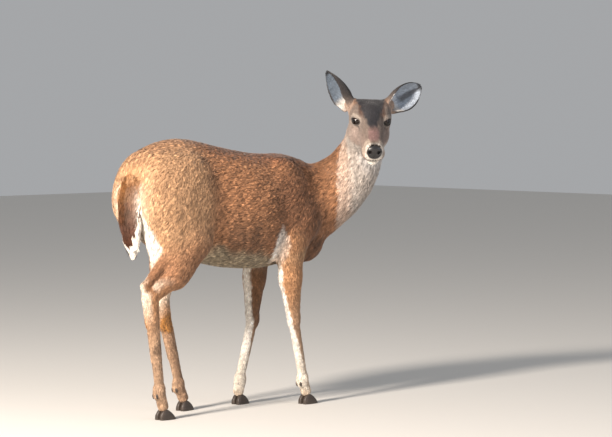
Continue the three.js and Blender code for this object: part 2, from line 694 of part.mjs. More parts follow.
const group = new THREE.Group();
group.name = "white_tailed_doe";
const bounds = new THREE.Box3();
for (const [name, { solid, color, roughness }] of pieces) {
  const mesh = solid.getMesh();
  const geometry = new THREE.BufferGeometry();
  const positions = [];
  for (let i = 0; i < mesh.vertProperties.length; i += mesh.numProp) {
    positions.push(...mesh.vertProperties.slice(i, i + 3));
  }
  geometry.setAttribute("position", new THREE.Float32BufferAttribute(positions, 3));
  geometry.setIndex(Array.from(mesh.triVerts));
  geometry.computeBoundingBox();
  bounds.union(geometry.boundingBox);
  const made = new THREE.Mesh(geometry, new THREE.MeshStandardMaterial({ color, roughness, metalness: 0 }));
  made.name = name;
  group.add(made);
}
const centre = bounds.getCenter(new THREE.Vector3());
for (const mesh of group.children) {
  mesh.geometry.translate(-centre.x, -centre.y, -bounds.min.z);
  mesh.geometry.computeVertexNormals();
}

export default group;
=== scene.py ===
"""A white-tailed doe, life size, standing and looking back over her right shoulder.

Her flesh is one field of distances made from named masses that melt into each other. One skin
follows the field, a coat's depth inside the solids, and many thousands of flat tufts lie over it
along the lie of the hair. Skin and tufts take their colours from the same markings. Lengths are
millimetres in the doe's own frame (+X the way the trunk faces, +Y her left, +Z up, soles at 0)
until a mesh is made, which is in metres about the frame's origin.
"""

from __future__ import annotations

import logging
import math
from collections.abc import Callable, Iterator
from dataclasses import dataclass, field
from enum import Enum

import bmesh
import bpy
import numpy as np
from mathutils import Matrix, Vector


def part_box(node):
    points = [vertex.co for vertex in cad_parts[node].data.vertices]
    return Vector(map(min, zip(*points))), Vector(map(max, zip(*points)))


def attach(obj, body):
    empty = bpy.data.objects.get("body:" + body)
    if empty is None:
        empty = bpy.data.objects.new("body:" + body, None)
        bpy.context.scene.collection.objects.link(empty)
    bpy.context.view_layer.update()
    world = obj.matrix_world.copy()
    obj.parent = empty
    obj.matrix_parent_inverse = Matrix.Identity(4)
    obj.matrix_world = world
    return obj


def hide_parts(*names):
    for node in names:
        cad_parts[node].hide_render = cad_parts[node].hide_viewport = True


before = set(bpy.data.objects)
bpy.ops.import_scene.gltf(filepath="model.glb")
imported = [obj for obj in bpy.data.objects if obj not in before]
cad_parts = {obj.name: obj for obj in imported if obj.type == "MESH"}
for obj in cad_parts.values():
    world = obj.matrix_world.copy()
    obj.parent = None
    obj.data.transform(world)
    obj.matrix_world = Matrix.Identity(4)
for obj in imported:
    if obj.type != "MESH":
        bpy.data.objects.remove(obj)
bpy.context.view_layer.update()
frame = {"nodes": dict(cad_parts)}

log = logging.getLogger("doe")

MM = 0.001  # metres
FAR = 1000.0  # millimetres: the distance before any mass is melted in
TINY = 1e-9  # keeps a division from meeting 0
Vec = tuple[float, float, float]
Section = tuple[float, float, float, float, float]
Array = np.ndarray
Field = Callable[[Array], Array]  # a number for each point


# ---- numbers and curves


def unit(v: Array | Vec) -> Array:
    """Vectors scaled to length one, along the last axis."""
    v = np.asarray(v, float)
    return v / np.maximum(np.linalg.norm(v, axis=-1, keepdims=True), TINY)


def between(a: Array | Vec, b: Array | Vec, share: float) -> Vec:
    """The point a share of the way from a to b."""
    return tuple((1 - share) * np.asarray(a, float) + share * np.asarray(b, float))


def far_from(place: Array | Vec, p: Array) -> Array:
    """Distance of points from a place."""
    return np.linalg.norm(p - np.array(place), axis=1)


def way(a: Vec, b: Vec) -> Vec:
    """The vector from a to b."""
    return tuple(np.subtract(b, a))


def shifted(p: Vec, x: float = 0, y: float = 0, z: float = 0) -> Vec:
    """A point moved along the axes."""
    return (p[0] + x, p[1] + y, p[2] + z)


def ramp(value: Array, low: float, high: float) -> Array:
    """0 below low and 1 above high, a smooth 3t^2 - 2t^3 between; low may be the larger."""
    t = np.clip((value - low) / (high - low), 0, 1)
    return t * t * (3 - 2 * t)


def curve(x: Array, stations: Array, values: Array) -> Array:
    """A smooth curve through stations, a cubic between each two with slopes from their neighbours.

    Args:
        x: where to read the curve.
        stations: rising places of the known values.
        values: the known values.

    Returns:
        The curve's value at each x; the end values beyond the ends.
    """
    xs, ys = np.asarray(stations, float), np.asarray(values, float)
    slope = np.gradient(ys, xs)
    i = np.clip(np.searchsorted(xs, x) - 1, 0, len(xs) - 2)
    width = xs[i + 1] - xs[i]
    t = np.clip((x - xs[i]) / width, 0, 1)
    s = 1 - t
    ends = ys[i] * (1 + 2 * t) * s * s + ys[i + 1] * t * t * (3 - 2 * t)
    return ends + slope[i] * width * t * s * s - slope[i + 1] * width * t * t * s


def melt(a: Array, b: Array, reach: float) -> Array:
    """Smooth union of two distances: the smaller, less a parabola where they are within reach."""
    h = np.maximum(reach - np.abs(a - b), 0) / reach
    return np.minimum(a, b) - h * h * reach / 4


def cut(a: Array, b: Array, reach: float) -> Array:
    """Distance a with the inside of b smoothly taken away."""
    return -melt(-a, b, reach)


def turned_axes(yaw: float, pitch: float, roll: float) -> Array:
    """Columns: the axes of a frame turned by yaw about Z, then pitch nose up, then roll; degrees."""
    a, b, c = np.radians([yaw, pitch, roll])
    about_z = np.array([[np.cos(a), -np.sin(a), 0], [np.sin(a), np.cos(a), 0], [0, 0, 1]])
    about_y = np.array([[np.cos(b), 0, -np.sin(b)], [0, 1, 0], [np.sin(b), 0, np.cos(b)]])
    about_x = np.array([[1, 0, 0], [0, np.cos(c), -np.sin(c)], [0, np.sin(c), np.cos(c)]])
    return about_z @ about_y @ about_x


def ripple(p: Array, size: float, seed: int, waves: int = 10) -> Array:
    """Smooth noise about -1 to 1: a sum of plane waves about `size` long in fixed random directions."""
    rng = np.random.default_rng(seed)
    ways = unit(rng.normal(size=(waves, 3))) * (2 * math.pi / size) * rng.uniform(0.6, 1.5, (waves, 1))
    return np.sin(p @ ways.T + rng.uniform(0, 2 * math.pi, waves)).sum(1) / math.sqrt(waves)


def linear(colour: str) -> Array:
    """An sRGB hex colour such as '#c49468' as linear red, green and blue."""
    c = np.array([int(colour[i : i + 2], 16) for i in (1, 3, 5)]) / 255
    return np.where(c <= 0.04045, c / 12.92, ((c + 0.055) / 1.055) ** 2.4)


def painted(ground: str, n: int, layers: list[tuple[str, Array]]) -> Array:
    """Colours of n points: a ground with others laid over it in turn, each by a share from 0 to 1."""
    base = np.tile(linear(ground), (n, 1))
    for colour, share in layers:
        base = base + (linear(colour) - base) * np.clip(share, 0, 1)[:, None]
    return base


# ---- hair


@dataclass(frozen=True)
class Hair:
    """How the coat grows on a region, in millimetres."""

    depth: float  # from the skin to the tips of the lying hair
    length: float  # of a tuft
    width: float
    spacing: float  # between roots


class Growth(Enum):
    """The kinds of hair on a white-tailed deer."""

    BODY = Hair(5.5, 20.0, 3.6, 3.9)
    THIGH = Hair(5.0, 18.0, 3.6, 3.9)
    NECK = Hair(7.0, 24.0, 3.8, 3.9)
    UPPER_LEG = Hair(3.5, 13.0, 3.2, 3.5)
    SHANK = Hair(2.2, 9.0, 2.6, 3.0)
    FACE = Hair(1.8, 6.5, 1.9, 2.4)
    TAIL = Hair(6.0, 30.0, 4.0, 3.4)
    EAR_BACK = Hair(0.9, 6.0, 1.8, 2.4)
    EAR_INSIDE = Hair(2.0, 10.0, 1.7, 2.5)


class Region(Enum):
    """The regions of the body that have markings of their own."""

    TRUNK = 0
    THIGH = 1
    NECK = 2
    FORELEG = 3
    HINDLEG = 4
    HEAD = 5
    TAIL = 6


# ---- masses of the flesh


@dataclass(frozen=True, kw_only=True)
class Mass:
    """One mass of the flesh: how far it melts into its neighbours, its hair and how that lies."""

    blend: float = 15
    growth: Growth = Growth.BODY
    region: Region = Region.TRUNK
    lie: Vec = (0, 0, -1)

    def distance(self, p: Array) -> Array:
        """Distance of points from its surface, negative inside."""
        raise NotImplementedError

    def box(self) -> tuple[Array, Array]:
        """Corners of a box that holds it."""
        raise NotImplementedError


@dataclass(frozen=True, kw_only=True)
class Limb(Mass):
    """A tapered rod from one point to another, flattened to a share of its radius along `side`."""

    start: Vec
    end: Vec
    radii: tuple[float, float]
    flat: float = 1.0
    side: Vec = (0, 1, 0)

    def distance(self, p: Array) -> Array:
        """Distance from the axis's nearest point less the radius there, the side way stretched."""
        axis, side = np.subtract(self.end, self.start), unit(self.side)
        t = np.clip((p - np.array(self.start)) @ axis / (axis @ axis), 0, 1)
        q = p - np.array(self.start) - t[:, None] * axis
        q = q + ((q @ side) * (1 / self.flat - 1))[:, None] * side
        return np.sqrt((q * q).sum(1)) - (self.radii[0] + (self.radii[1] - self.radii[0]) * t)

    def box(self) -> tuple[Array, Array]:
        """The ends and the larger radius about them."""
        r = max(self.radii) * max(self.flat, 1)
        return np.minimum(self.start, self.end) - r, np.maximum(self.start, self.end) + r


@dataclass(frozen=True, kw_only=True)
class Lump(Mass):
    """An egg of three half sizes, turned by yaw, pitch and roll."""

    at: Vec
    size: Vec
    turn: Vec = (0, 0, 0)

    def distance(self, p: Array) -> Array:
        """The usual near distance of an ellipsoid: k0 (k0 - 1) / k1."""
        q = (p - np.array(self.at)) @ turned_axes(*self.turn)
        size = np.array(self.size)
        k0 = np.sqrt(((q / size) ** 2).sum(1))
        k1 = np.sqrt(((q / size**2) ** 2).sum(1))
        return k0 * (k0 - 1) / np.maximum(k1, TINY)

    def box(self) -> tuple[Array, Array]:
        """Its middle and the largest half size about it."""
        return np.array(self.at) - max(self.size), np.array(self.at) + max(self.size)


@dataclass(frozen=True, kw_only=True)
class Loft(Mass):
    """Sections along X: (x, top, bottom, half width, share of the height where it is widest)."""

    stations: tuple[Section, ...]
    power: float = 2.3

    def read(self, x: Array) -> tuple[Array, Array, Array, Array]:
        """Top, bottom, half width and widest share of the section at each x."""
        s = np.array(self.stations)
        x = np.clip(x, s[0, 0], s[-1, 0])
        return tuple(curve(x, s[:, 0], s[:, k]) for k in (1, 2, 3, 4))

    def distance(self, p: Array) -> Array:
        """Near distance of a superellipse section, and of the end section beyond the ends."""
        x = np.clip(p[:, 0], self.stations[0][0], self.stations[-1][0])
        top, bottom, half, share = self.read(x)
        middle = bottom + (top - bottom) * share
        up = p[:, 2] - middle
        reach = np.maximum(np.where(up > 0, top - middle, middle - bottom), 1)
        half = np.maximum(half, 1)
        q = (np.abs(p[:, 1]) / half) ** self.power + (np.abs(up) / reach) ** self.power
        q = q ** (1 / self.power)
        outward = (q - 1) * np.hypot(p[:, 1], up) / np.maximum(q, 1e-3)
        in_plane = np.where(q > 1e-3, outward, -np.minimum(half, reach))
        past = np.abs(p[:, 0] - x)
        return np.where(past > 0, np.hypot(np.maximum(in_plane, 0), past), in_plane)

    def box(self) -> tuple[Array, Array]:
        """The largest section from end to end."""
        x, top, bottom, half, _ = np.array(self.stations).T
        return np.array((x[0], -half.max(), bottom.min())), np.array((x[-1], half.max(), top.max()))


@dataclass(frozen=True)
class Trunk:
    """Trunk from rump to breast with the muscles that show on it."""

    loft: Loft = Loft(
        blend=1,
        lie=(-1, 0, -0.2),
        stations=(
            (-398, 736, 676, 40, 0.5),
            (-384, 804, 641, 82, 0.5),
            (-360, 844, 606, 98, 0.5),
            (-318, 874, 568, 106, 0.5),
            (-260, 893, 536, 110, 0.5),
            (-195, 899, 516, 110, 0.5),
            (-120, 889, 494, 112, 0.47),
            (-40, 872, 476, 124, 0.45),
            (40, 858, 466, 134, 0.45),
            (120, 847, 462, 131, 0.46),
            (190, 844, 466, 118, 0.48),
            (250, 843, 476, 104, 0.5),
            (300, 832, 492, 94, 0.5),
            (350, 812, 510, 84, 0.5),
            (395, 768, 536, 66, 0.5),
            (425, 706, 596, 44, 0.5),
        ),
    )

    def masses(self) -> list[Mass]:
        """The trunk's masses in the order they melt together."""
        made: list[Mass] = [self.loft]
        for s in (1, -1):
            made += [
                Lump(at=(-300, s * 58, 740), size=(92, 64, 108), blend=40, region=Region.THIGH,
                     lie=(-0.7, 0, -0.7)),
                Lump(at=(232, s * 76, 708), size=(66, 32, 128), turn=(0, 16, 0), blend=45,
                     lie=(-0.75, 0, -0.6)),
                Lump(at=(272, s * 70, 622), size=(78, 40, 64), blend=44, lie=(-0.45, 0, -0.9)),
            ]
        breast = Limb(start=(402, -10, 668), end=(366, 0, 550), radii=(100, 79), flat=0.74, blend=40,
                      lie=(-0.3, 0, -1))
        return [*made, breast]


@dataclass(frozen=True)
class Neck:
    """Neck bent round to her right: centres, half depths, and half widths as shares of those."""

    centres: tuple[Vec, ...] = (
        (345, 0, 681),
        (418, -17, 684),
        (465, -49, 716),
        (495, -86, 762),
        (505, -120, 812),
        (502, -150, 860),
        (488, -176, 901),
        (474, -202, 926),
    )
    depths: tuple[float, ...] = (124, 116, 100, 88, 80, 71, 65, 58)
    shares: tuple[float, ...] = (0.74, 0.72, 0.74, 0.76, 0.77, 0.84, 0.88)
    throat_ways: tuple[Vec, ...] = ((0.95, -0.2, -0.35), (0.62, -0.75, -0.2), (-0.45, -0.85, -0.1))

    def masses(self) -> list[Mass]:
        """Rods from centre to centre; their hair lies down the neck towards the trunk."""
        made = []
        for i, share in enumerate(self.shares):
            start, end = self.centres[i], self.centres[i + 1]
            down = np.subtract(start, end)
            made.append(
                Limb(start=start, end=end, radii=(self.depths[i], self.depths[i + 1]), flat=share,
                     side=tuple(np.cross(down, (0, 0, -1))), blend=34, growth=Growth.NECK,
                     region=Region.NECK, lie=tuple(unit(down) + np.array((0, 0, -0.25))))
            )
        return made

    def around(self, p: Array) -> tuple[Array, Array]:
        """Where points lie on the neck.

        Args:
            p: points.

        Returns:
            The share of the way from trunk to head, and how far round from nape (-1) to throat (1).
        """
        c = np.array(self.centres)
        best = np.full(len(p), np.inf)
        along, out = np.zeros(len(p)), np.zeros_like(p)
        for i in range(len(c) - 1):
            axis = c[i + 1] - c[i]
            t = np.clip((p - c[i]) @ axis / (axis @ axis), 0, 1)
            q = p - c[i] - t[:, None] * axis
            far = np.linalg.norm(q, axis=1)
            near = far < best
            best = np.where(near, far, best)
            along = np.where(near, (i + t) / (len(c) - 1), along)
            out = np.where(near[:, None], q, out)
        ways = np.array(self.throat_ways).T
        throat = np.stack([np.interp(along, (0, 0.5, 1), way) for way in ways], 1)
        return along, (unit(out) * unit(throat)).sum(1)


@dataclass(frozen=True)
class Foot:
    """Fetlock, pastern and hoof of one leg."""

    fetlock: Vec
    hoof: Vec
    radius: float
    region: Region

    def masses(self) -> list[Mass]:
        """The fetlock, and the pastern down to the coronet."""
        common = dict(blend=10, growth=Growth.SHANK, region=self.region)
        return [
            Limb(start=shifted(self.fetlock, -2, 0, 8), end=shifted(self.fetlock, -5, 0, -8),
                 radii=(self.radius + 1, self.radius), flat=0.95, **common),
            Limb(start=self.fetlock, end=shifted(self.hoof, -6, 0, 10), radii=(18, 18), flat=1.08,
                 lie=way(self.fetlock, self.hoof), **common),
        ]


@dataclass(frozen=True)
class Foreleg:
    """A foreleg by its joints; side is 1 on her left and -1 on her right."""

    side: int
    shoulder: Vec
    elbow: Vec
    knee: Vec
    fetlock: Vec
    hoof: Vec

    def masses(self) -> list[Mass]:
        """Arm, forearm, knee, cannon and foot."""
        common = dict(region=Region.FORELEG)
        upper = dict(growth=Growth.UPPER_LEG, lie=way(self.elbow, self.knee), **common)
        lower = dict(growth=Growth.SHANK, lie=way(self.knee, self.fetlock), **common)
        return [
            Limb(start=shifted(self.shoulder, -45, -self.side * 14), end=shifted(self.elbow, 22, 0, 5),
                 radii=(60, 48), flat=0.62, blend=40, lie=(-0.45, 0, -1)),
            Limb(start=shifted(self.elbow, 10, 0, 20), end=between(self.elbow, self.knee, 0.45),
                 radii=(56, 42), flat=0.74, blend=30, **upper),
            Limb(start=between(self.elbow, self.knee, 0.4), end=shifted(self.knee, -2, 0, 20),
                 radii=(44, 27), flat=0.74, blend=14, **upper),
            Lump(at=shifted(self.knee, 2), size=(25, 20, 32), blend=12, **lower),
            Limb(start=self.knee, end=shifted(self.fetlock, 0, 0, 14), radii=(20, 16.5), flat=0.86,
                 blend=10, **lower),
            *Foot(self.fetlock, self.hoof, 18.5, Region.FORELEG).masses(),
        ]


@dataclass(frozen=True)
class Hindleg:
    """A hind leg by its joints; `forward` is how far this thigh swings ahead of the other."""

    side: int
    hip: Vec
    stifle: Vec
    hock: Vec
    point: Vec
    fetlock: Vec
    hoof: Vec
    forward: float = 0

    def masses(self) -> list[Mass]:
        """Thigh, gaskin, hamstring, hock, cannon and foot."""
        thigh = dict(growth=Growth.THIGH, region=Region.THIGH, lie=(-0.45, 0, -0.9))
        common = dict(region=Region.HINDLEG)
        gaskin = dict(growth=Growth.UPPER_LEG, lie=way(self.stifle, self.hock), **common)
        shank = dict(growth=Growth.SHANK, lie=way(self.hock, self.fetlock), **common)
        s, f = self.side, self.forward

        def down(share: float) -> Vec:
            """The point a share of the way from stifle to hock."""
            return between(self.stifle, self.hock, share)

        return [
            Lump(at=(-222 + f * 0.35, s * 74, 691 + f * 0.2), size=(124, 61, 160), blend=30, **thigh),
            Limb(start=shifted(self.hip, -15, 0, -60), end=shifted(self.stifle, -34, -s * 18, 12),
                 radii=(100, 60), flat=0.56, blend=36, **thigh),
            Limb(start=(-326, s * 60, 716), end=down(0.45), radii=(68, 40), flat=0.7, blend=34, **thigh),
            Limb(start=(-345, s * 35, 646), end=shifted(down(0.4), -62, -s * 46, 7), radii=(40, 30),
                 flat=0.8, blend=24, **thigh),
            Limb(start=shifted(self.stifle, -30, -s * 18, 2), end=shifted(down(0.56), 8, 0, -10),
                 radii=(64, 46), flat=0.64, blend=34, **gaskin),
            Limb(start=shifted(down(0.55), 5, 0, -6), end=self.hock, radii=(39, 26), flat=0.74, blend=16,
                 **gaskin),
            Limb(start=between(down(0.35), (-340, s * 66, 636), 0.35), end=self.point, radii=(34, 12),
                 flat=0.7, blend=20, **gaskin),
            Limb(start=self.point, end=shifted(self.hock, -2, 0, -6), radii=(15.5, 22), flat=0.8,
                 blend=10, **shank),
            Limb(start=shifted(self.hock, 0, 0, 4), end=shifted(self.hock, 4, 0, -80), radii=(26, 23),
                 flat=0.8, blend=12, **shank),
            Limb(start=shifted(self.hock, -3), end=shifted(between(self.hock, self.fetlock, 0.66), -2),
                 radii=(25, 16), flat=0.84, blend=14, **shank),
            Limb(start=self.hock, end=shifted(self.fetlock, 0, 0, 14), radii=(22, 17), flat=0.84,
                 blend=10, **shank),
            *Foot(self.fetlock, self.hoof, 19, Region.HINDLEG).masses(),
        ]


@dataclass(frozen=True)
class Tail:
    """Tail, flattened fore and aft, hanging against the rump: centres and half widths."""

    centres: tuple[Vec, ...] = (
        (-346, 0, 824),
        (-374, 0, 797),
        (-395, 0, 751),
        (-402, 0, 691),
        (-399, 0, 631),
        (-393, 0, 576),
        (-384, 0, 506),
    )
    halves: tuple[float, ...] = (22, 31, 41, 50, 50, 37, 7)
    flat: float = 0.4

    def masses(self) -> list[Mass]:
        """Rods down the tail."""
        return [
            Limb(start=a, end=b, radii=(ra, rb), flat=self.flat, side=(1, 0, 0.05), blend=14,
                 growth=Growth.TAIL, region=Region.TAIL, lie=way(a, b))
            for a, b, ra, rb in zip(self.centres, self.centres[1:], self.halves, self.halves[1:])
        ]

    def read(self, z: Array) -> tuple[Array, Array]:
        """Where its middle lies along X, and its half width, at each height."""
        x, _, heights = np.array(self.centres[::-1]).T
        return np.interp(z, heights, x), np.interp(z, heights, self.halves[::-1])


@dataclass(frozen=True)
class Eye:
    """An eye and the opening of its lids, in the head's frame."""

    side: int
    place: Vec = (4, 47, -3)
    radius: float = 17
    lid: float = 2.4
    half_width: float = 16.5
    upper: float = 12.0
    lower: float = 9.5
    outward: Vec = (0.74, 0.66, 0.10)
    tilt: float = 8  # the front corner sits higher; degrees
    crease: Vec = (0.9, 6.5, 1.8)  # depth of the fold round the lids, how far out it lies, and its width
    sunk: float = 1.2  # how far the opening lies under the ball's surface

    @property
    def centre(self) -> Array:
        """The middle of the eyeball."""
        return np.array((self.place[0], self.side * self.place[1], self.place[2]))

    @property
    def axes(self) -> Array:
        """Columns: towards the nose, up, and outward through the pupil."""
        out = unit((self.outward[0], self.side * self.outward[1], self.outward[2]))
        ahead = unit(np.array((1, 0, 0)) - out * out[0])
        up = np.cross(out, ahead)
        up = up * np.sign(up[2])
        c, s = math.cos(math.radians(self.tilt)), math.sin(math.radians(self.tilt))
        return np.stack([ahead * c + up * s, up * c - ahead * s, out], 1)

    def almond(self, p: Array, longer: float = 0) -> Array:
        """Distance from the opening's edge in the lids' plane: two arcs that meet at the corners."""
        u, v, _ = ((p - self.centre) @ self.axes).T
        arcs = []
        for height, sign in ((self.upper, 1), (self.lower, -1)):
            r = ((self.half_width + longer) ** 2 + height**2) / (2 * height)
            arcs.append(np.hypot(u, v - sign * (height - r)) - r)
        return np.maximum(*arcs)

    def lidded(self, p: Array, distance: Array) -> Array:
        """The head's distance with lids raised over the eyeball and the opening sunk to under it."""
        away = far_from(self.centre, p)
        almond = self.almond(p)
        ahead = ((p - self.centre) @ self.axes)[:, 2] > 2
        depth, out, width = self.crease
        crease = depth * np.exp(-(((almond - out) / width) ** 2)) * ahead
        lids = melt(distance, away - self.radius - self.lid + crease, 5)
        opening = np.where(ahead, np.maximum(almond, self.radius - self.sunk - away), 50)
        return cut(lids, opening, 1.0)


@dataclass(frozen=True)
class Ear:
    """An ear: a cupped leaf on a bowed ridge, in the head's frame."""

    side: int
    tip: Vec
    opens: Vec
    root: Vec = (-84, 53, 6)
    places: tuple[float, ...] = (0, 0.12, 0.3, 0.5, 0.7, 0.85, 0.95, 1)
    half_widths: tuple[float, ...] = (29, 34, 41, 45, 39, 26, 12.5, 2)
    wraps: tuple[float, ...] = (150, 130, 108, 90, 78, 66, 58, 54)
    thicknesses: tuple[float, ...] = (17, 12, 6, 5, 4.2, 3.4, 2.6, 2.2)
    bow: float = 13  # how far the ridge's middle bends back
    set_back: float = 12  # how far back the ridge starts
    tightened: float = 0.97  # of the wrap, on the inner face
    kept: float = 0.985  # of the solid ear's length and wrap, in the leaf

    @property
    def start(self) -> Array:
        """The root of the ridge."""
        return np.array((self.root[0], self.side * self.root[1], self.root[2]))

    @property
    def length(self) -> float:
        """From root to tip."""
        return float(np.linalg.norm(np.array(self.tip) - self.start))

    @property
    def axes(self) -> Array:
        """Columns: along the ear, the way it opens, and across it."""
        along = unit(np.array(self.tip) - self.start)
        opens = np.array(self.opens)
        opens = unit(opens - along * (opens @ along))
        return np.stack([along, opens, np.cross(along, opens)], 1)

    def section(self, u: Array) -> tuple[Array, Array, Array, Array]:
        """Half wrap angle, outer radius, thickness and ridge offset at shares u of the length."""
        angle = np.radians(curve(u, self.places, self.wraps))
        radius = curve(u, self.places, self.half_widths) / np.sin(np.minimum(angle, math.pi / 2))
        back = -self.bow * np.sin(math.pi * np.clip(u, 0, 1)) - self.set_back * (1 - u)
        return angle, radius, curve(u, self.places, self.thicknesses), back

    def surface(self, u: Array, t: Array, inner: bool, sunk: float = 0.0) -> Array:
        """Points of the outer or inner face: an arc of the section's radius about its middle.

        Args:
            u: shares of the length.
            t: from -1 to 1 round the wrap.
            inner: the inner face and not the outer.
            sunk: how far inside the face the points lie.

        Returns:
            Points in the head's frame.
        """
        angle, radius, thick, back = self.section(u)
        r = np.maximum(radius - thick + sunk, 0.5) if inner else radius - sunk
        turn = t * angle * (self.tightened if inner else 1)
        along, opens, across = self.axes.T
        ridge = self.start + along * (self.length * u)[..., None] + opens * back[..., None]
        out, up = r * np.sin(turn), radius - r * np.cos(turn)
        return ridge + across * out[..., None] + opens * up[..., None]

    def shell(self, rings: int = 30, around: int = 17, sunk: float = 0.8) -> tuple[Array, Array]:
        """The closed leaf, a coat's depth inside the solid: rings of outer arc and inner arc back."""
        u = np.linspace(0, 1, rings)[:, None] * np.ones((1, around))
        t = np.linspace(-1, 1, around)[None, :] * np.ones((rings, 1))
        sunk = np.minimum(sunk, 0.3 * self.section(u)[2])
        outer = self.surface(u * self.kept, t * self.kept, False, sunk)
        inner = self.surface(u * self.kept, t * self.kept, True, sunk)[:, ::-1]
        points = np.concatenate([outer, inner], 1).reshape(-1, 3)
        return points, tube_faces(rings, 2 * around)

    def place(self, p: Array) -> tuple[Array, Array, Array, Array]:
        """Where points of the head's frame lie on the ear.

        Args:
            p: points in the head's frame.

        Returns:
            Share of the length, share round the wrap from -1 to 1, whether on the inner face, and
            distance to the middle of the leaf.
        """
        q = (p - self.start) @ self.axes
        u = q[:, 0] / self.length
        angle, radius, thick, back = self.section(np.clip(u, 0, 1))
        far = np.hypot(q[:, 1] - back - radius, q[:, 2])
        t = np.arctan2(q[:, 2], radius - (q[:, 1] - back)) / angle
        middle = radius - thick / 2
        past_edge = np.maximum(np.abs(t) - 1, 0) * angle * radius
        past_end = np.maximum(np.abs(u - 0.5) - 0.5, 0) * self.length
        return u, t, far < middle, np.hypot(far - middle, past_edge + past_end)


@dataclass(frozen=True)
class Head:
    """The head in its own frame: origin between the eyes, +X to the nose, +Y her left, +Z the crown."""

    at: Vec = (444, -247, 956)
    turn: Vec = (-129.8, -26, -2)
    eyes: tuple[Eye, Eye] = (Eye(1), Eye(-1))
    ears: tuple[Ear, Ear] = (
        Ear(1, tip=(-165, 180, 51), opens=(0.82, 0.22, 0.30)),
        Ear(-1, tip=(-161, -145, 100), opens=(0.60, -0.76, -0.24)),
    )
    nose_at: Vec = (165, 0, -39)
    nose_size: Vec = (17, 27, 26)
    stations: tuple[Section, ...] = (
        (-118, 0, -55, 34, 0.5),
        (-100, 24, -82, 47, 0.5),
        (-75, 38, -100, 55, 0.5),
        (-48, 43, -107, 59, 0.46),
        (-20, 47, -107, 55, 0.42),
        (5, 43, -105, 50, 0.36),
        (28, 35, -101, 44, 0.38),
        (52, 25, -96, 40.5, 0.44),
        (80, 12, -91, 37.5, 0.46),
        (105, 1, -90, 35, 0.46),
        (128, -8, -88, 34, 0.46),
        (148, -15, -80, 30, 0.46),
        (162, -25, -64, 21, 0.5),
    )

    @property
    def axes(self) -> Array:
        """Columns: the head's axes in the doe's frame."""
        return turned_axes(*self.turn)

    def inward(self, p: Array) -> Array:
        """Points of the doe's frame in the head's frame."""
        return (p - np.array(self.at)) @ self.axes

    def outward(self, p: Array) -> Array:
        """Points of the head's frame in the doe's frame."""
        return np.array(self.at) + p @ self.axes.T

    def masses(self) -> list[Mass]:
        """Skull, jaw, orbits, brows, nostrils, lips, ear roots, nose and chin, in the head's frame."""
        common = dict(growth=Growth.FACE, region=Region.HEAD, lie=(-1, 0, -0.12))
        made: list[Mass] = [Loft(stations=self.stations, power=2.4, blend=1, **common)]
        for s in (1, -1):
            made += [
                Lump(at=(-20, s * 37, -62), size=(50, 29, 44), turn=(0, 12, 0), blend=24, **common),
                Lump(at=(-28, s * 47, -5), size=(42, 24, 28), turn=(-s * 6, 0, 0), blend=20, **common),
                Limb(start=(-40, s * 43, 22), end=(6, s * 45, 16), radii=(13, 8), blend=24, **common),
                Limb(start=(-34, s * 52, -24), end=(4, s * 48, -25), radii=(12, 7), blend=16, **common),
                Lump(at=(148, s * 15, -36), size=(15, 15, 17), blend=8, **common),
                Lump(at=(127, s * 21, -60), size=(25, 17, 19), blend=12, **common),
                Limb(start=(-64, s * 36, 6), end=(-88, s * 60, 11), radii=(28, 25), blend=26, **common),
            ]
        made.append(Lump(at=(152, 0, -36), size=(16, 25, 20), blend=8, **common))
        made.append(Lump(at=(127, 0, -87), size=(21, 19, 14), blend=8, **common))
        return made

    def lip_line(self, x: Array) -> Array:
        """Height of the slit of the mouth along the muzzle."""
        return np.interp(x, (84, 104, 128, 150, 160), (-64, -70, -74, -74, -71))

    def furrow_line(self, x: Array) -> Array:
        """Height of the tear furrow from the front corner of the eye down the cheek."""
        return np.interp(x, (20, 60), (-14, -30))

    def featured(self, p: Array, distance: Array) -> Array:
        """The head's distance with its mouth, the tear furrows and the lids; p is in its frame."""
        x, y, z = p.T
        mouth = 2.4 * np.exp(-(((z - self.lip_line(x)) / 1.9) ** 2)) * ramp(x, 82, 96)
        furrow = 2.0 * np.exp(-(((z - self.furrow_line(x)) / 2.8) ** 2))
        furrow = furrow * ramp(x, 19, 27) * ramp(x, 56, 38)
        distance = distance + mouth + furrow * (np.abs(y) > 20)
        for eye in self.eyes:
            distance = eye.lidded(p, distance)
        return distance


@dataclass
class Reading:
    """What the flesh says at some points."""

    distance: Array  # to the tips of the coat
    depth: Array  # of the coat
    length: Array  # of a tuft
    width: Array
    spacing: Array
    lie: Array  # unit vectors
    shares: Array  # of each Region, adding to one


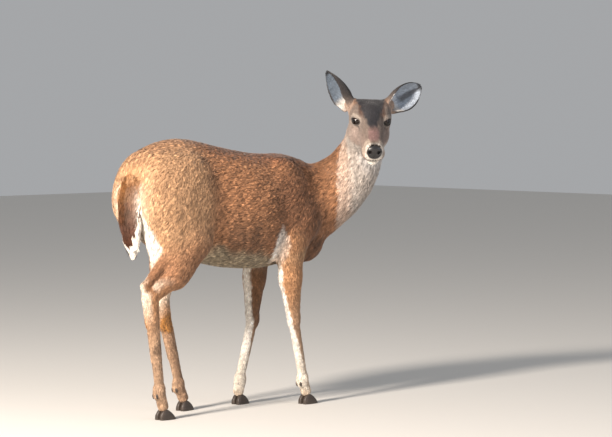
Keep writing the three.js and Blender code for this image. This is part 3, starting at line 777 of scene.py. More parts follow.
@dataclass
class Flesh:
    """All the doe's masses, melted together."""

    trunk: Trunk = field(default_factory=Trunk)
    neck: Neck = field(default_factory=Neck)
    head: Head = field(default_factory=Head)
    tail: Tail = field(default_factory=Tail)
    forelegs: tuple[Foreleg, Foreleg] = (
        Foreleg(1, (340, 84, 626), (226, 86, 524), (208, 83, 282), (146, 76, 81), (142, 75, 34)),
        Foreleg(-1, (345, -84, 626), (212, -88, 528), (242, -82, 290), (289, -77, 84), (312, -75, 34)),
    )
    hindlegs: tuple[Hindleg, Hindleg] = (
        Hindleg(1, (-285, 72, 751), (-108, 108, 620), (-207, 72, 371), (-240, 73, 400),
                (-135, 70, 84), (-112, 68, 34), forward=70),
        Hindleg(-1, (-285, -72, 751), (-178, -108, 566), (-383, -80, 397), (-407, -79, 433),
                (-343, -76, 92), (-322, -75, 34)),
    )
    head_melt: float = 26
    tail_melt: float = 10
    head_reach: float = 240
    margin: float = 60  # beyond its blend, past which a mass no longer counts
    softness: float = 13  # over which one region's hair gives way to the next
    seat_depth: float = 10  # of the hollow in the skin that holds the nose pad

    def __post_init__(self) -> None:
        """Lists the masses once."""
        legs = [m for i in (0, 1) for leg in (self.forelegs[i], self.hindlegs[i]) for m in leg.masses()]
        self.rest = [*self.trunk.masses(), *self.neck.masses(), *legs]
        self.tail_masses = self.tail.masses()
        self.head_masses = self.head.masses()

    def read(self, p: Array, full: bool = True) -> Reading:
        """Melts every mass at some points, and mixes their hair by nearness.

        Args:
            p: points in the doe's frame.
            full: also mix lengths, widths, lie and shares, and not only the depth.

        Returns:
            The reading; without full its lie, shares, length, width and spacing are empty.
        """
        sums = np.zeros((len(p), 8 + len(Region) if full else 2))

        def gather(masses: list[Mass], q: Array, rows: Array, turn: Array) -> Array:
            """Melts masses at points q, which are rows of sums, and adds their hair up."""
            total = np.full(len(q), FAR)
            for mass in masses:
                low, high = mass.box()
                margin = mass.blend + self.margin
                near = np.flatnonzero(((q > low - margin) & (q < high + margin)).all(1))
                if not len(near):
                    continue
                d = mass.distance(q[near])
                total[near] = melt(total[near], d, mass.blend)
                hair = mass.growth.value
                values = [1.0, hair.depth]
                if full:
                    values += [hair.length, hair.width, hair.spacing, *(turn @ unit(mass.lie))]
                    values += [float(region is mass.region) for region in Region]
                nearness = np.exp(-np.clip(d, -90, 900) / self.softness)
                sums[rows[near]] += nearness[:, None] * np.array(values)
            return total

        everywhere = np.arange(len(p))
        distance = gather(self.rest, p, everywhere, np.eye(3))
        rows = np.flatnonzero(far_from(self.head.at, p) < self.head_reach)
        own = gather(self.head_masses, self.head.inward(p[rows]), rows, self.head.axes)
        distance[rows] = melt(distance[rows], own, self.head_melt)
        distance = melt(distance, gather(self.tail_masses, p, everywhere, np.eye(3)), self.tail_melt)
        sums /= np.maximum(sums[:, :1], 1e-30)
        if not full:
            none = np.zeros(0)
            return Reading(distance, sums[:, 1], none, none, none, none, none)
        return Reading(distance, *sums[:, 1:5].T, unit(sums[:, 5:8]), sums[:, 8:])

    def skin(self, p: Array) -> Array:
        """Distance to the skin: a coat's depth inside the tips, with features and the nose's seat."""
        reading = self.read(p, full=False)
        distance = reading.distance + reading.depth
        near = far_from(self.head.at, p) < self.head_reach
        if near.any():
            local = self.head.inward(p[near])
            own = self.head.featured(local, distance[near])
            seat = (local - np.array(self.head.nose_at)) / (np.array(self.head.nose_size) - 2)
            seat = np.linalg.norm(seat[:, 1:], axis=1)
            distance[near] = own + self.seat_depth * ramp(seat, 0.97, 0.7) * ramp(local[:, 0], 142, 150)
        return distance

    def wanted_edge(self, p: Array) -> Array:
        """The longest edge the skin may have at each place: fine on features, coarse on the trunk."""
        local = self.head.inward(p)
        x, _, z = local.T
        skull = far_from((20, 0, -25), local) < 170
        edge = np.where(p[:, 2] < 470, 7.5, 12.0)  # legs, trunk
        edge = np.where(p[:, 2] < 130, 6.0, edge)  # feet
        edge = np.where(np.abs(p[:, 0] + 395) < 40, np.minimum(edge, 8), edge)  # tail
        edge = np.where(skull, 5.0, edge)
        for eye in self.head.eyes:
            edge = np.where(far_from(eye.centre, local) < 30, 1.9, edge)
        mouth = (np.abs(z - self.head.lip_line(x)) < 8) & (x > 80) & skull
        return np.where(mouth | (far_from(self.head.nose_at, local) < 32), 2.4, edge)


# ---- surfaces


def tube_faces(rings: int, around: int) -> Array:
    """Quads of a closed tube of rings whose ends are shut by strips across.

    Args:
        rings: number of rings.
        around: points in a ring, an even number.

    Returns:
        Faces as four indices each.
    """
    i, k = np.meshgrid(np.arange(around), np.arange(rings - 1))
    a, b = k * around + i, k * around + (i + 1) % around
    sides = np.stack([a, a + around, b + around, b], -1).reshape(-1, 4)
    j = np.arange(around // 2 - 1)
    first = np.stack([j, j + 1, around - 2 - j, around - 1 - j], 1)
    return np.concatenate([sides, first, (rings - 1) * around + first[:, ::-1]])


def surface_net(distance: Field, low: Vec, high: Vec, cell: float) -> tuple[Array, Array]:
    """The surface where a distance is 0: a point in each cell it crosses, at its edge crossings' mean.

    Args:
        distance: function of points.
        low, high: corners of the box to search.
        cell: size of a cell.

    Returns:
        Points and quads facing out.
    """
    low, high = np.array(low, float), np.array(high, float)
    n = np.ceil((high - low) / cell).astype(int) + 1
    axes = [low[i] + cell * np.arange(n[i]) for i in range(3)]
    coarse = 4  # one reading first for this many cells each way, and one for each cell near the surface
    few = [a[::coarse] + cell * (coarse - 1) / 2 for a in axes]
    grid = np.stack(np.meshgrid(*few, indexing="ij"), -1)
    rough = distance(grid.reshape(-1, 3)).reshape(grid.shape[:3])
    values = rough.repeat(coarse, 0).repeat(coarse, 1).repeat(coarse, 2)[: n[0], : n[1], : n[2]]
    near = np.argwhere(np.abs(values) < 1.5 * coarse * cell)
    values[tuple(near.T)] = distance(low + cell * near)
    inside = values < 0
    corners = [(i, j, k) for i in (0, 1) for j in (0, 1) for k in (0, 1)]
    seen = [inside[tuple(slice(i, size - 1 + i) for i, size in zip(c, n))] for c in corners]
    count = sum(view.astype(int) for view in seen)
    active = (count > 0) & (count < len(corners))
    names = np.full(active.shape, -1)
    names[active] = np.arange(active.sum())
    at = np.argwhere(active)
    total, crossings = np.zeros((len(at), 3)), np.zeros(len(at))
    for c in corners:
        for d in range(3):
            if c[d]:
                continue
            e = np.array(c)
            e[d] = 1
            fa, fb = values[tuple((at + c).T)], values[tuple((at + e).T)]
            crossed = (fa < 0) != (fb < 0)
            q = np.tile(np.array(c, float), (len(at), 1))
            q[:, d] += np.where(crossed, fa / np.where(crossed, fa - fb, 1), 0)
            total += q * crossed[:, None]
            crossings += crossed
    points = low + cell * (at + total / crossings[:, None])
    quads = []
    for d in range(3):
        step = np.eye(3, dtype=int)[d]
        u, v = [(1, 2), (2, 0), (0, 1)][d]
        here = inside[: n[0] - step[0], : n[1] - step[1], : n[2] - step[2]]
        there = inside[step[0] :, step[1] :, step[2] :]
        edge = np.argwhere(here != there)
        for k in (u, v):
            edge = edge[(edge[:, k] > 0) & (edge[:, k] < n[k] - 1)]
        quad = []
        for du, dv in ((0, 0), (1, 0), (1, 1), (0, 1)):
            cell_at = edge.copy()
            cell_at[:, u] -= du
            cell_at[:, v] -= dv
            quad.append(names[tuple(cell_at.T)])
        quad = np.stack(quad, 1)
        flip = ~here[tuple(edge.T)]
        quad[flip] = quad[flip][:, ::-1]
        quads.append(quad)
    return points, np.concatenate(quads)


def triangles(quads: Array) -> Array:
    """Two triangles of each quad."""
    return np.concatenate([quads[:, [0, 1, 2]], quads[:, [0, 2, 3]]])


def settled(distance: Field, p: Array, passes: int, h: float = 0.4, most: float = 6) -> Array:
    """Points moved along the slope of a distance until it is 0 there: Newton's step, f g / |g|^2.

    Args:
        distance: function of points.
        p: points near its surface.
        passes: how many steps.
        h: how far apart it is read for its slope.
        most: the longest step.

    Returns:
        The points moved.
    """
    for _ in range(passes):
        f = distance(p)
        g = np.stack([(distance(p + h * e) - f) / h for e in np.eye(3)], -1)
        step = g * (f / np.maximum((g * g).sum(1), 0.25))[:, None]
        p = p - step * np.minimum(1, most / np.maximum(np.linalg.norm(step, axis=1), TINY))[:, None]
    return p


def edges_of(faces: Array) -> tuple[Array, Array]:
    """Each edge once, and for each face the names of its edges ab, bc and ca."""
    pairs = np.sort(np.concatenate([faces[:, [0, 1]], faces[:, [1, 2]], faces[:, [2, 0]]]), axis=1)
    unique, inverse = np.unique(pairs, axis=0, return_inverse=True)
    return unique, inverse.reshape(3, -1).T


def refined(points: Array, faces: Array, wanted: Field) -> tuple[Array, Array]:
    """Splits every edge that is longer than wanted, and with it the triangles on both its sides.

    Args:
        points: corners.
        faces: triangles.
        wanted: function of points that gives the longest edge allowed.

    Returns:
        Points and triangles.
    """
    edges, names = edges_of(faces)
    ends = points[edges]
    middle = ends.mean(1)
    long = np.linalg.norm(ends[:, 0] - ends[:, 1], axis=1) > wanted(middle)
    new = np.where(long, len(points) + np.cumsum(long) - 1, -1)
    split = new[names]
    count = (split >= 0).sum(1)
    lone, after_whole = np.argmax(split >= 0, axis=1), (np.argmin(split >= 0, axis=1) + 1) % 3
    first = np.where(count == 1, lone, np.where(count == 2, after_whole, 0))
    order = (first[:, None] + np.arange(3)) % 3
    a, b, c = np.take_along_axis(faces, order, 1).T
    ab, bc, ca = np.take_along_axis(split, order, 1).T
    parts = {
        1: ((a, ab, c), (ab, b, c)),
        2: ((ab, b, bc), (a, ab, bc), (a, bc, c)),
        3: ((a, ab, ca), (ab, b, bc), (ca, bc, c), (ab, bc, ca)),
    }
    made = [np.stack(t, 1)[count == k] for k, corners in parts.items() for t in corners]
    return np.concatenate([points, middle[long]]), np.concatenate([faces[count == 0], *made])


def summed(rows: Array, vectors: Array, n: int) -> Array:
    """Vectors added up by row number, n rows in all."""
    return np.stack([np.bincount(rows, vectors[:, k], n) for k in range(3)], 1)


def relaxed(points: Array, faces: Array, share: Array | float) -> Array:
    """Points moved a share of the way to the mean of their neighbours."""
    edges, _ = edges_of(faces)
    both = np.concatenate([edges, edges[:, ::-1]])
    degree = np.maximum(np.bincount(both[:, 0], minlength=len(points)), 1)
    mean = summed(both[:, 0], points[both[:, 1]], len(points)) / degree[:, None]
    return points + (mean - points) * np.reshape(share, (-1, 1))


def corner_normals(points: Array, faces: Array) -> Array:
    """Unit normals at the points, each the sum of its faces' normals by area."""
    a, b, c = points[faces].transpose(1, 0, 2)
    flat = np.cross(b - a, c - a)
    return unit(summed(faces.ravel(), np.repeat(flat, 3, axis=0), len(points)))


def sphere(rings: int, around: int) -> Array:
    """Unit vectors on latitudes from the +Z pole down: (sin a cos b, sin a sin b, cos a)."""
    a, b = np.linspace(0, math.pi, rings), np.linspace(0, 2 * math.pi, around, endpoint=False)
    a, b = np.meshgrid(a, b, indexing="ij")
    return np.stack([np.sin(a) * np.cos(b), np.sin(a) * np.sin(b), np.cos(a)], -1).reshape(-1, 3)


# ---- meshes


@dataclass
class Frame:
    """Where the doe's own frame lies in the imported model's: found from the eye, which both know."""

    flesh: Flesh

    def __post_init__(self) -> None:
        """Works out the shift from the left eye's box."""
        low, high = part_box("eye_left")
        eye = self.flesh.head.outward(self.flesh.head.eyes[0].centre)
        self.shift = (np.array(low) + np.array(high)) / 2 - eye * MM

    def metres(self, p: Array) -> Array:
        """Points of the doe's frame in the model's, in metres."""
        return p * MM + self.shift

    def own(self, p: Array) -> Array:
        """Points of the model's frame in the doe's, in millimetres."""
        return (p - self.shift) / MM


def new_object(name: str, points: Array, faces: Array, smooth: bool = True) -> bpy.types.Object:
    """An object from points in metres and faces of three or four corners."""
    mesh = bpy.data.meshes.new(name)
    size = faces.shape[1]
    mesh.vertices.add(len(points))
    mesh.vertices.foreach_set("co", points.astype(np.float32).ravel())
    mesh.loops.add(faces.size)
    mesh.loops.foreach_set("vertex_index", faces.astype(np.int32).ravel())
    mesh.polygons.add(len(faces))
    mesh.polygons.foreach_set("loop_start", np.arange(0, faces.size, size, dtype=np.int32))
    mesh.polygons.foreach_set("use_smooth", np.full(len(faces), smooth))
    mesh.update(calc_edges=True)
    mesh.validate()
    made = bpy.data.objects.new(name, mesh)
    bpy.context.scene.collection.objects.link(made)
    return made


def paint(obj: bpy.types.Object, colours: Array) -> None:
    """Gives an object its markings: one linear colour for each point."""
    layer = obj.data.color_attributes.new("Markings", "FLOAT_COLOR", "POINT")
    values = np.concatenate([colours, np.ones((len(colours), 1))], 1)
    layer.data.foreach_set("color", values.astype(np.float32).ravel())


def lay_out(obj: bpy.types.Object, uv: Array, name: str = "OFBake") -> None:
    """Gives an object a UV map from one place for each point."""
    layer = obj.data.uv_layers.new(name=name)
    corner = np.zeros(len(obj.data.loops), np.int32)
    obj.data.loops.foreach_get("vertex_index", corner)
    layer.data.foreach_set("uv", uv[corner].astype(np.float32).ravel())


def mesh_arrays(mesh: bpy.types.Mesh) -> tuple[Array, Array, Array]:
    """A mesh's points, its triangles' points, and its triangles' loops."""
    mesh.calc_loop_triangles()
    points = np.zeros(len(mesh.vertices) * 3)
    mesh.vertices.foreach_get("co", points)
    faces, loops = (np.zeros(len(mesh.loop_triangles) * 3, np.int32) for _ in range(2))
    mesh.loop_triangles.foreach_get("vertices", faces)
    mesh.loop_triangles.foreach_get("loops", loops)
    return points.reshape(-1, 3), faces.reshape(-1, 3), loops.reshape(-1, 3)


# ---- markings


def facing_in(y: Array, normal: Array) -> Array:
    """How far normals face the doe's middle plane, from -1 to 1."""
    return -normal[:, 1] * np.sign(y)


@dataclass(frozen=True)
class Markings:
    """The colours of a white-tailed doe's coat by place, the same for skin and tufts.

    Her left cheek, left ear and the left of her rump are coloured apart from the right ones, in
    the places named below. The left cheek is darker as painted shade, and the inside of the left ear
    is paler as painted light.
    """

    flesh: Flesh
    white: str = "#e2dad0"
    cream: str = "#d9cbb8"
    back: str = "#80563d"
    side: str = "#9a6c4b"
    flank: str = "#74523a"
    shoulder: str = "#855c41"
    # a brown laid on as painted shade: the lower front of the shoulder and the inner sides of the legs
    painted_shade_brown: str = "#684833"
    haunch: str = "#b68d69"
    # the belly's pale hair, darkened as painted shade
    under: str = "#8f8069"
    nape: str = "#7d573c"
    bib: str = "#b79e8d"
    # white throat hair, greyed and darkened as painted shade under the head
    throat: str = "#aba49d"
    jaw: str = "#bfc0c2"
    fawn: str = "#ab7d58"
    fawn_low: str = "#a5866c"
    gaskin: str = "#94694b"
    grey_face: str = "#71635a"
    cheek: str = "#8c796f"
    crown: str = "#1f1f25"
    brow: str = "#543e33"
    bridge: str = "#7b5f5b"
    ear_back: str = "#3a3534"
    ear_rim: str = "#221f20"
    ear_hair: str = "#586370"
    ear_hair_painted_light: str = "#a3acb8"  # inside her left ear, paler than inside the right as painted light
    ring: str = "#a3978d"
    tail: str = "#4a230f"
    tail_dark: str = "#2c1a10"
    golden: str = "#a9743c"
    dark: str = "#201815"

    def trunk(self, p: Array, normal: Array) -> Array:
        """Dark along the spine, warm brown sides, darker shoulder, pale below and in the armpit.

        Painted shade darkens the pale belly and the front of the lower shoulder.
        """
        top, bottom, _, _ = self.flesh.trunk.loft.read(p[:, 0])
        x, y, z = p.T
        t = (z - bottom) / np.maximum(top - bottom, 40)
        spine = ramp(t + 0.1 * normal[:, 2], 0.9, 1.07) * (0.45 + 0.55 * ramp(x, -200, 0))
        low = 0.13 + 0.02 * ripple(p, 90, 4)
        armpit = np.hypot((x - 168) * 1.5, (z - 538) * 0.62) + 5 * ripple(p, 30, 12)
        inside = ramp(facing_in(y, normal), 0.15, 0.55) * ramp(z, 690, 640) * ramp(t, 0.6, 0.35)
        return painted(self.side, len(p), [
            (self.haunch, ramp(x, -90, -250)),
            (self.flank, ramp(x, -110, -20) * ramp(x, 130, 60) * ramp(t, 0.55, 0.25)),
            (self.shoulder, ramp(x, 90, 200) * ramp(t, 1.0, 0.7)),
            # painted shade on the front of the lower shoulder
            (self.painted_shade_brown, ramp(x, 250, 330) * ramp(z, 720, 640) * 0.8),
            (self.back, spine),
            # painted shade: the pale belly darkened
            (self.under, ramp(t, low + 0.07, low - 0.03) * ramp(x, 330, 250)),
            (self.cream, inside),
            (self.white, ramp(armpit, 46, 26) * ramp(np.abs(y), 50, 70)),
        ])

    def thigh(self, p: Array, normal: Array) -> Array:
        """Pale tan haunch, browner in front, white beside the tail and down the inner side."""
        x, y, z = p.T
        edge = np.interp(z, (500, 540, 580, 640, 700, 780), (84, 82, 78, 66, 51, 36))
        edge = edge + 4 * ripple(p, 40, 13)
        hind = np.interp(z, (500, 560, 640), (-275, -295, -310))
        beside = ramp(np.abs(y), edge + 7, edge - 7) * ramp(x, hind, hind - 30)
        beside = beside * ramp(z, 778, 750) * ramp(z, 486, 520)
        return painted(self.haunch, len(p), [
            (self.side, ramp(x, -190, -110) * 0.8),
            (self.gaskin, ramp(z, 600, 500) * 0.7),
            (self.white, beside * np.where(y > 0, ramp(z, 670, 620), 1)),  # starts lower on her left
            (self.cream, ramp(facing_in(y, normal), 0.1, 0.5) * ramp(z, 690, 640)),
        ])

    def neck(self, p: Array) -> Array:
        """Brown nape and sides, a pale bib that widens up the throat, and white under the jaw.

        The throat's white is greyed and darkened as painted shade under the head.
        """
        along, round_ = self.flesh.neck.around(p)
        edge = np.interp(along, (0.1, 0.2, 0.3, 0.43, 0.57, 0.75), (0.95, 0.45, -0.05, -0.5, -0.8, -1.0))
        edge = edge + 0.05 * ripple(p, 40, 18)
        return painted(self.side, len(p), [
            (self.nape, ramp(round_, 0.0, -0.7) * ramp(along, 0.8, 0.55)),
            (self.bib, ramp(round_, edge, edge + 0.22)),
            # painted shade on the white of the upper throat
            (self.throat, 0.8 * ramp(round_, edge + 0.5, edge + 1.0) * ramp(along, 0.12, 0.3)),
            (self.jaw, 0.6 * ramp(round_, 0.2, 0.8) * ramp(along, 0.5, 0.85)),
        ])

    def foreleg(self, p: Array, normal: Array) -> Array:
        """Fawn in front and outside, dark inside as painted shade, white behind, paler towards the foot.
        """
        z = p[:, 2]
        back, inside = -normal[:, 0], facing_in(p[:, 1], normal)
        edge = np.interp(z, (150, 260, 330, 430), (-0.3, 0.3, 0.6, 0.76))
        behind = ramp(back + 0.18 * inside + 0.05 * ripple(p, 25, 19), edge, edge + 0.22)
        return painted(self.fawn, len(p), [
            (self.fawn_low, ramp(z, 420, 230)),
            # painted shade on the inner side of the foreleg
            (self.painted_shade_brown, 0.75 * ramp(inside, 0.1, 0.6) * ramp(z, 220, 300)),
            (self.white, behind * ramp(z, 40, 70)),
            (self.cream, 0.6 * ramp(z, 230, 110)),
        ])

    def hindleg(self, p: Array, normal: Array) -> Array:
        """Fawn outside, pale inside and behind the gaskin, a tan gland tuft, a dark spot outside."""
        z = p[:, 2]
        back, inside = -normal[:, 0], facing_in(p[:, 1], normal)
        tarsal = self.gland(p, normal)
        shank = np.hypot((z - 232) * 0.5, 14 * (1 + inside))
        return painted(self.fawn, len(p), [
            (self.fawn_low, ramp(z, 390, 230)),
            (self.gaskin, ramp(z, 400, 460)),
            (self.cream, 0.75 * ramp(0.5 * back + inside, 0.25, 0.8) * ramp(z, 330, 400)),
            (self.cream, 0.85 * ramp(back, 0.1, 0.7) * ramp(z, 470, 430) * ramp(z, 300, 400)),
            # painted shade on the inner side of the lower hind leg
            (self.painted_shade_brown, 0.35 * ramp(inside, 0.2, 0.8) * ramp(z, 300, 270)),
            (self.golden, tarsal),
            (self.tail_dark, tarsal * ramp(ripple(p, 9, 15), 0.2, 0.7) * 0.8),
            (self.tail_dark, 0.45 * ramp(shank, 12, 4)),
        ])

    def gland(self, p: Array, normal: Array) -> Array:
        """How much of a point is in the tarsal gland's tuft, on the inner side below each hock."""
        x, y, z = p.T
        middle, height = np.where(y > 0, -194, -376), np.where(y > 0, 298, 320)
        off = np.hypot(x - middle, (z - height) * 0.9)
        return ramp(off, 33, 24) * ramp(facing_in(y, normal), -0.2, 0.2)

    def face(self, q: Array) -> Array:
        """Slate crown, paler bridge, grey cheeks, light eye rings, white round nose and on chin."""
        x, y, z = q.T
        away = np.abs(y)
        lip = self.flesh.head.lip_line(x)
        stripe = ramp(np.abs(z + 24 + 0.28 * x), 18, 5) * ramp(x, 15, 35) * ramp(x, 110, 85)
        temple = ramp(x, -25, -50) * ramp(z, -30, -5)
        half = np.interp(x, (-100, -40, 0, 30, 60, 105), (52, 44, 33, 24, 18, 7)) + 2 * ripple(q, 22, 16)
        bridge = ramp(away, 22, 12) * ramp(x, 70, 100) * ramp(x, 142, 128) * ramp(z, -42, -20)
        # where her left cheek gets painted shade
        left_cheek_painted_shade = ramp(y, 22, 32) * ramp(x, 0, 20) * ramp(x, 140, 115) * ramp(z, -80, -60)
        beside_nose = ramp(np.abs(x - 138), 17, 9) * ramp(away, 9, 17) * ramp(z, -66, -56)
        above_nose = ramp(np.abs(x - 142), 10, 5) * ramp(away, 9, 4) * ramp(z, -30, -20)
        rim = ramp(x + 7 * ramp(z, -40, -22), 150, 156) * ramp(z, lip, lip + 4)
        layers = [
            (self.cheek, ramp(z, 0, -40) * ramp(x, -60, 0)),
            (self.grey_face, 0.35 * stripe),
            (self.brow, ramp(z, 8, 22) * ramp(x, 40, 10) * ramp(away, 47, 40)),
            (self.nape, 0.6 * temple * ramp(away, 38, 46)),
            (self.bib, 0.6 * temple * ramp(away, 54, 62)),
            (self.crown, ramp(away, half + 6, half - 6) * ramp(z, -14, 4) * ramp(x, 112, 66) * 0.97),
            (self.bridge, bridge * 0.9),
            # painted shade: her left cheek darkened with the brow's brown
            (self.brow, 0.5 * left_cheek_painted_shade),
            # painted shade: the throat's greyed white under the jaw
            (self.throat, ramp(z, -70, -90) * ramp(x, 140, 100)),
            (self.cream, beside_nose * 0.3),
            (self.brow, 0.45 * above_nose),
            (self.crown, 0.7 * ramp(np.hypot(x - 132, (z + 62) * 1.3), 13, 6)),
            (self.white, ramp(z, lip + 1, lip - 3) * ramp(x, 84, 100)),
            (self.white, rim * np.interp(z, (-50, -25), (0.9, 0.55))),
        ]
        for eye in self.flesh.head.eyes:
            edge, outer = eye.almond(q), eye.almond(q, 4.0)
            local = (q - eye.centre) @ eye.axes
            near = far_from(eye.centre, q) < 42
            layers += [
                (self.ring, ramp(edge, 13, 8) * near * ramp(local[:, 2], -4, 6) * 0.5),
                (self.cream, ramp(np.abs(edge - 10), 5, 2) * near * ramp(local[:, 1], 4, 10) * 0.12),
                (self.dark, ramp(outer, 2.4, 0.8) * near),
            ]
        furrow = ramp(np.abs(z - self.flesh.head.furrow_line(x)), 5, 2)
        furrow = furrow * ramp(x, 17, 23) * ramp(x, 50, 34)
        mouth = ramp(np.abs(z - lip), 2.8, 1.2) * ramp(x, 84, 92)
        seat = ramp(np.hypot(y / 26, (z + 39) / 25), 1.0, 0.94) * ramp(x, 144, 150)
        layers += [
            (self.dark, furrow * 0.8 * (away > 22)),
            (self.dark, np.maximum(mouth * 0.85, seat)),
        ]
        return painted(self.grey_face, len(q), layers)

    def tail_hair(self, p: Array) -> Array:
        """Rusty above with a darker middle, white at the edges, below and at the tip."""
        y, z = p[:, 1], p[:, 2]
        middle, half = self.flesh.tail.read(z)
        across = np.abs(y) / half
        uneven = z + 12 * ripple(p, 24, 20)
        streak = ramp(across + 0.15 * ripple(p, 22, 14), 0.75, 0.2) * ramp(z, 780, 740)
        under = ramp(p[:, 0] - middle, 3, 11) * ramp(z, 800, 770)
        brown = np.interp(z, (556, 585, 610, 650, 700, 760), (0, 0.42, 0.7, 0.86, 0.94, 1.2))
        brown = brown + 0.16 * ramp(y, 0, 20)  # reaches farther out on her left
        fringe = ramp(across + 0.04 * ripple(p, 16, 17), brown - 0.02, brown + 0.04)
        return painted(self.tail, len(p), [
            (self.tail_dark, streak * 0.6),
            (self.golden, 0.2 * ramp(uneven, 690, 760)),
            (self.haunch, ramp(uneven, 762, 806)),
            (self.white, np.maximum(under, fringe) * ramp(z, 785, 755)),
        ])

    def ear(self, ear: Ear, q: Array) -> tuple[Array, Array]:
        """An ear's colours: dark back and rim, pale hair inside; and how much of a point is ear."""
        u, t, inner, far = ear.place(q)
        inside = inner * ramp(np.abs(t), 0.99, 0.9)
        fold = ramp(np.abs(t - 0.1), 0.24, 0.08) * ramp(u, 0.3, 0.45)
        rim = np.maximum(ramp(np.abs(t), 0.88, 0.97) * ramp(u, 0.25, 0.5), ramp(u, 0.86, 0.95))
        colours = painted(self.ear_back, len(q), [
            (self.grey_face, ramp(u, 0.35, 0.05) * 0.7),
            # her left ear's inner hair is paler as painted light
            (self.ear_hair if ear.side < 0 else self.ear_hair_painted_light, inside),
            (self.ear_back, inside * fold * 0.75),
            (self.white, inside * ramp(u, 0.36, 0.14) * 0.85),
            (self.ear_rim, rim * 0.85),
        ])
        return colours, ramp(far, 9, 5) * ramp(u, -0.02, 0.12)

    def colour(self, p: Array, normal: Array, reading: Reading) -> Array:
        """Colours of points on the doe.

        Args:
            p: points in the doe's frame.
            normal: unit normals there.
            reading: the flesh's reading there, for the regions' shares.

        Returns:
            Linear colours, one for each point.
        """
        q = self.flesh.head.inward(p)
        by_region = (
            self.trunk(p, normal),
            self.thigh(p, normal),
            self.neck(p),
            self.foreleg(p, normal),
            self.hindleg(p, normal),
            self.face(q),
            self.tail_hair(p),
        )  # in the order of Region
        mixed = sum(colours * share[:, None] for colours, share in zip(by_region, reading.shares.T))
        for ear in self.flesh.head.ears:
            colours, amount = self.ear(ear, q)
            mixed += (colours - mixed) * amount[:, None]
        return mixed * (1 + 0.05 * ripple(p, 26, 8) + 0.05 * ripple(p, 10, 9))[:, None]


# ---- finishes


@dataclass
class Material:
    """A material under way: its Principled shader, its output, and the nodes added to them."""

    name: str

    def __post_init__(self) -> None:
        """Makes the material with only its shader and output."""
        self.data = bpy.data.materials.new(self.name)
        self.data.use_nodes = True
        self.data.node_tree.nodes.clear()
        self.shader = self.add("BsdfPrincipled")
        self.add("OutputMaterial", {"Surface": self.shader.outputs["BSDF"]})

    def wire(self, node: bpy.types.Node, inputs: dict) -> None:
        """Links each input, by name or number, to an output socket, or sets it to a plain value."""
        for name, value in inputs.items():
            if isinstance(value, bpy.types.NodeSocket):
                self.data.node_tree.links.new(value, node.inputs[name])
            else:
                node.inputs[name].default_value = value

    def add(self, kind: str, inputs: dict | None = None, **settings) -> bpy.types.Node:
        """Adds a shader node.

        Args:
            kind: node type without "ShaderNode", such as "TexNoise".
            inputs: what its inputs are linked or set to.
            settings: attributes of the node.

        Returns:
            The node.
        """
        node = self.data.node_tree.nodes.new("ShaderNode" + kind)
        for name, value in settings.items():
            setattr(node, name, value)
        self.wire(node, inputs or {})
        return node

    def finished(self, inputs: dict) -> bpy.types.Material:
        """Links or sets the shader's own inputs, and gives the material."""
        self.wire(self.shader, inputs)
        return self.data


@dataclass(frozen=True)
class DeerHair:
    """Short guard hair: hollow keratin, satin, a little sheen seen edge on; the markings' colours."""

    name: str
    strand: float = 1.1  # mm between the fine lines; coarser than real hair so that they show
    bump: float = 0.35
    gloss: float = 0.3
    sheen: float = 0.12

    def material(self) -> bpy.types.Material:
        """Base colour is the markings times a fine speckle; the bump is the same speckle."""
        made = Material(self.name)
        marks = made.add("VertexColor", layer_name="Markings")
        place = made.add("TexCoord").outputs["Object"]
        speckle = made.add("TexNoise", {"Vector": place, "Scale": 1 / (self.strand * 4 * MM),
                                        "Detail": 3.0, "Roughness": 0.6}).outputs["Fac"]
        level = made.add("MapRange", {"Value": speckle, "From Min": 0.3, "From Max": 0.7,
                                      "To Min": 0.78, "To Max": 1.2})
        tinted = made.add("VectorMath", {0: marks.outputs["Color"], "Scale": level.outputs["Result"]},
                          operation="SCALE")
        bump = made.add("Bump", {"Height": speckle, "Strength": self.bump, "Distance": self.strand * MM})
        return made.finished({
            "Base Color": tinted.outputs["Vector"],
            "Normal": bump.outputs["Normal"],
            "Roughness": 0.62,
            "Specular IOR Level": self.gloss,
            "Sheen Weight": self.sheen,
            "Sheen Roughness": 0.5,
        })


@dataclass(frozen=True)
class WetEye:
    """Cornea over a dark brown iris: clear, wet and almost black from a step away."""

    name: str = "wet_dark_eye"

    def material(self) -> bpy.types.Material:
        """The markings under a clear wet coat."""
        made = Material(self.name)
        marks = made.add("VertexColor", layer_name="Markings")
        return made.finished({
            "Base Color": marks.outputs["Color"],
            "Roughness": 0.12,
            "IOR": 1.38,
            "Specular IOR Level": 0.35,
            "Coat Weight": 0.5,
            "Coat Roughness": 0.03,
        })


@dataclass(frozen=True)
class NoseLeather:
    """Bare skin of the nose: black, moist, with a fine pebble about two millimetres across."""

    name: str = "moist_nose_leather"
    pebble: float = 2.0
    colour: str = "#1b191b"

    def material(self) -> bpy.types.Material:
        """Cells of a Voronoi pattern raised as pebbles under a thin wet coat."""
        made = Material(self.name)
        place = made.add("TexCoord").outputs["Object"]
        cells = made.add("TexVoronoi", {"Vector": place, "Scale": 1 / (self.pebble * MM)})
        bump = made.add("Bump", {"Height": cells.outputs["Distance"], "Strength": 0.5,
                                 "Distance": 0.4 * MM}, invert=True)
        return made.finished({
            "Normal": bump.outputs["Normal"],
            "Base Color": (*linear(self.colour), 1),
            "Roughness": 0.38,
            "Coat Weight": 0.35,
            "Coat Roughness": 0.22,
        })


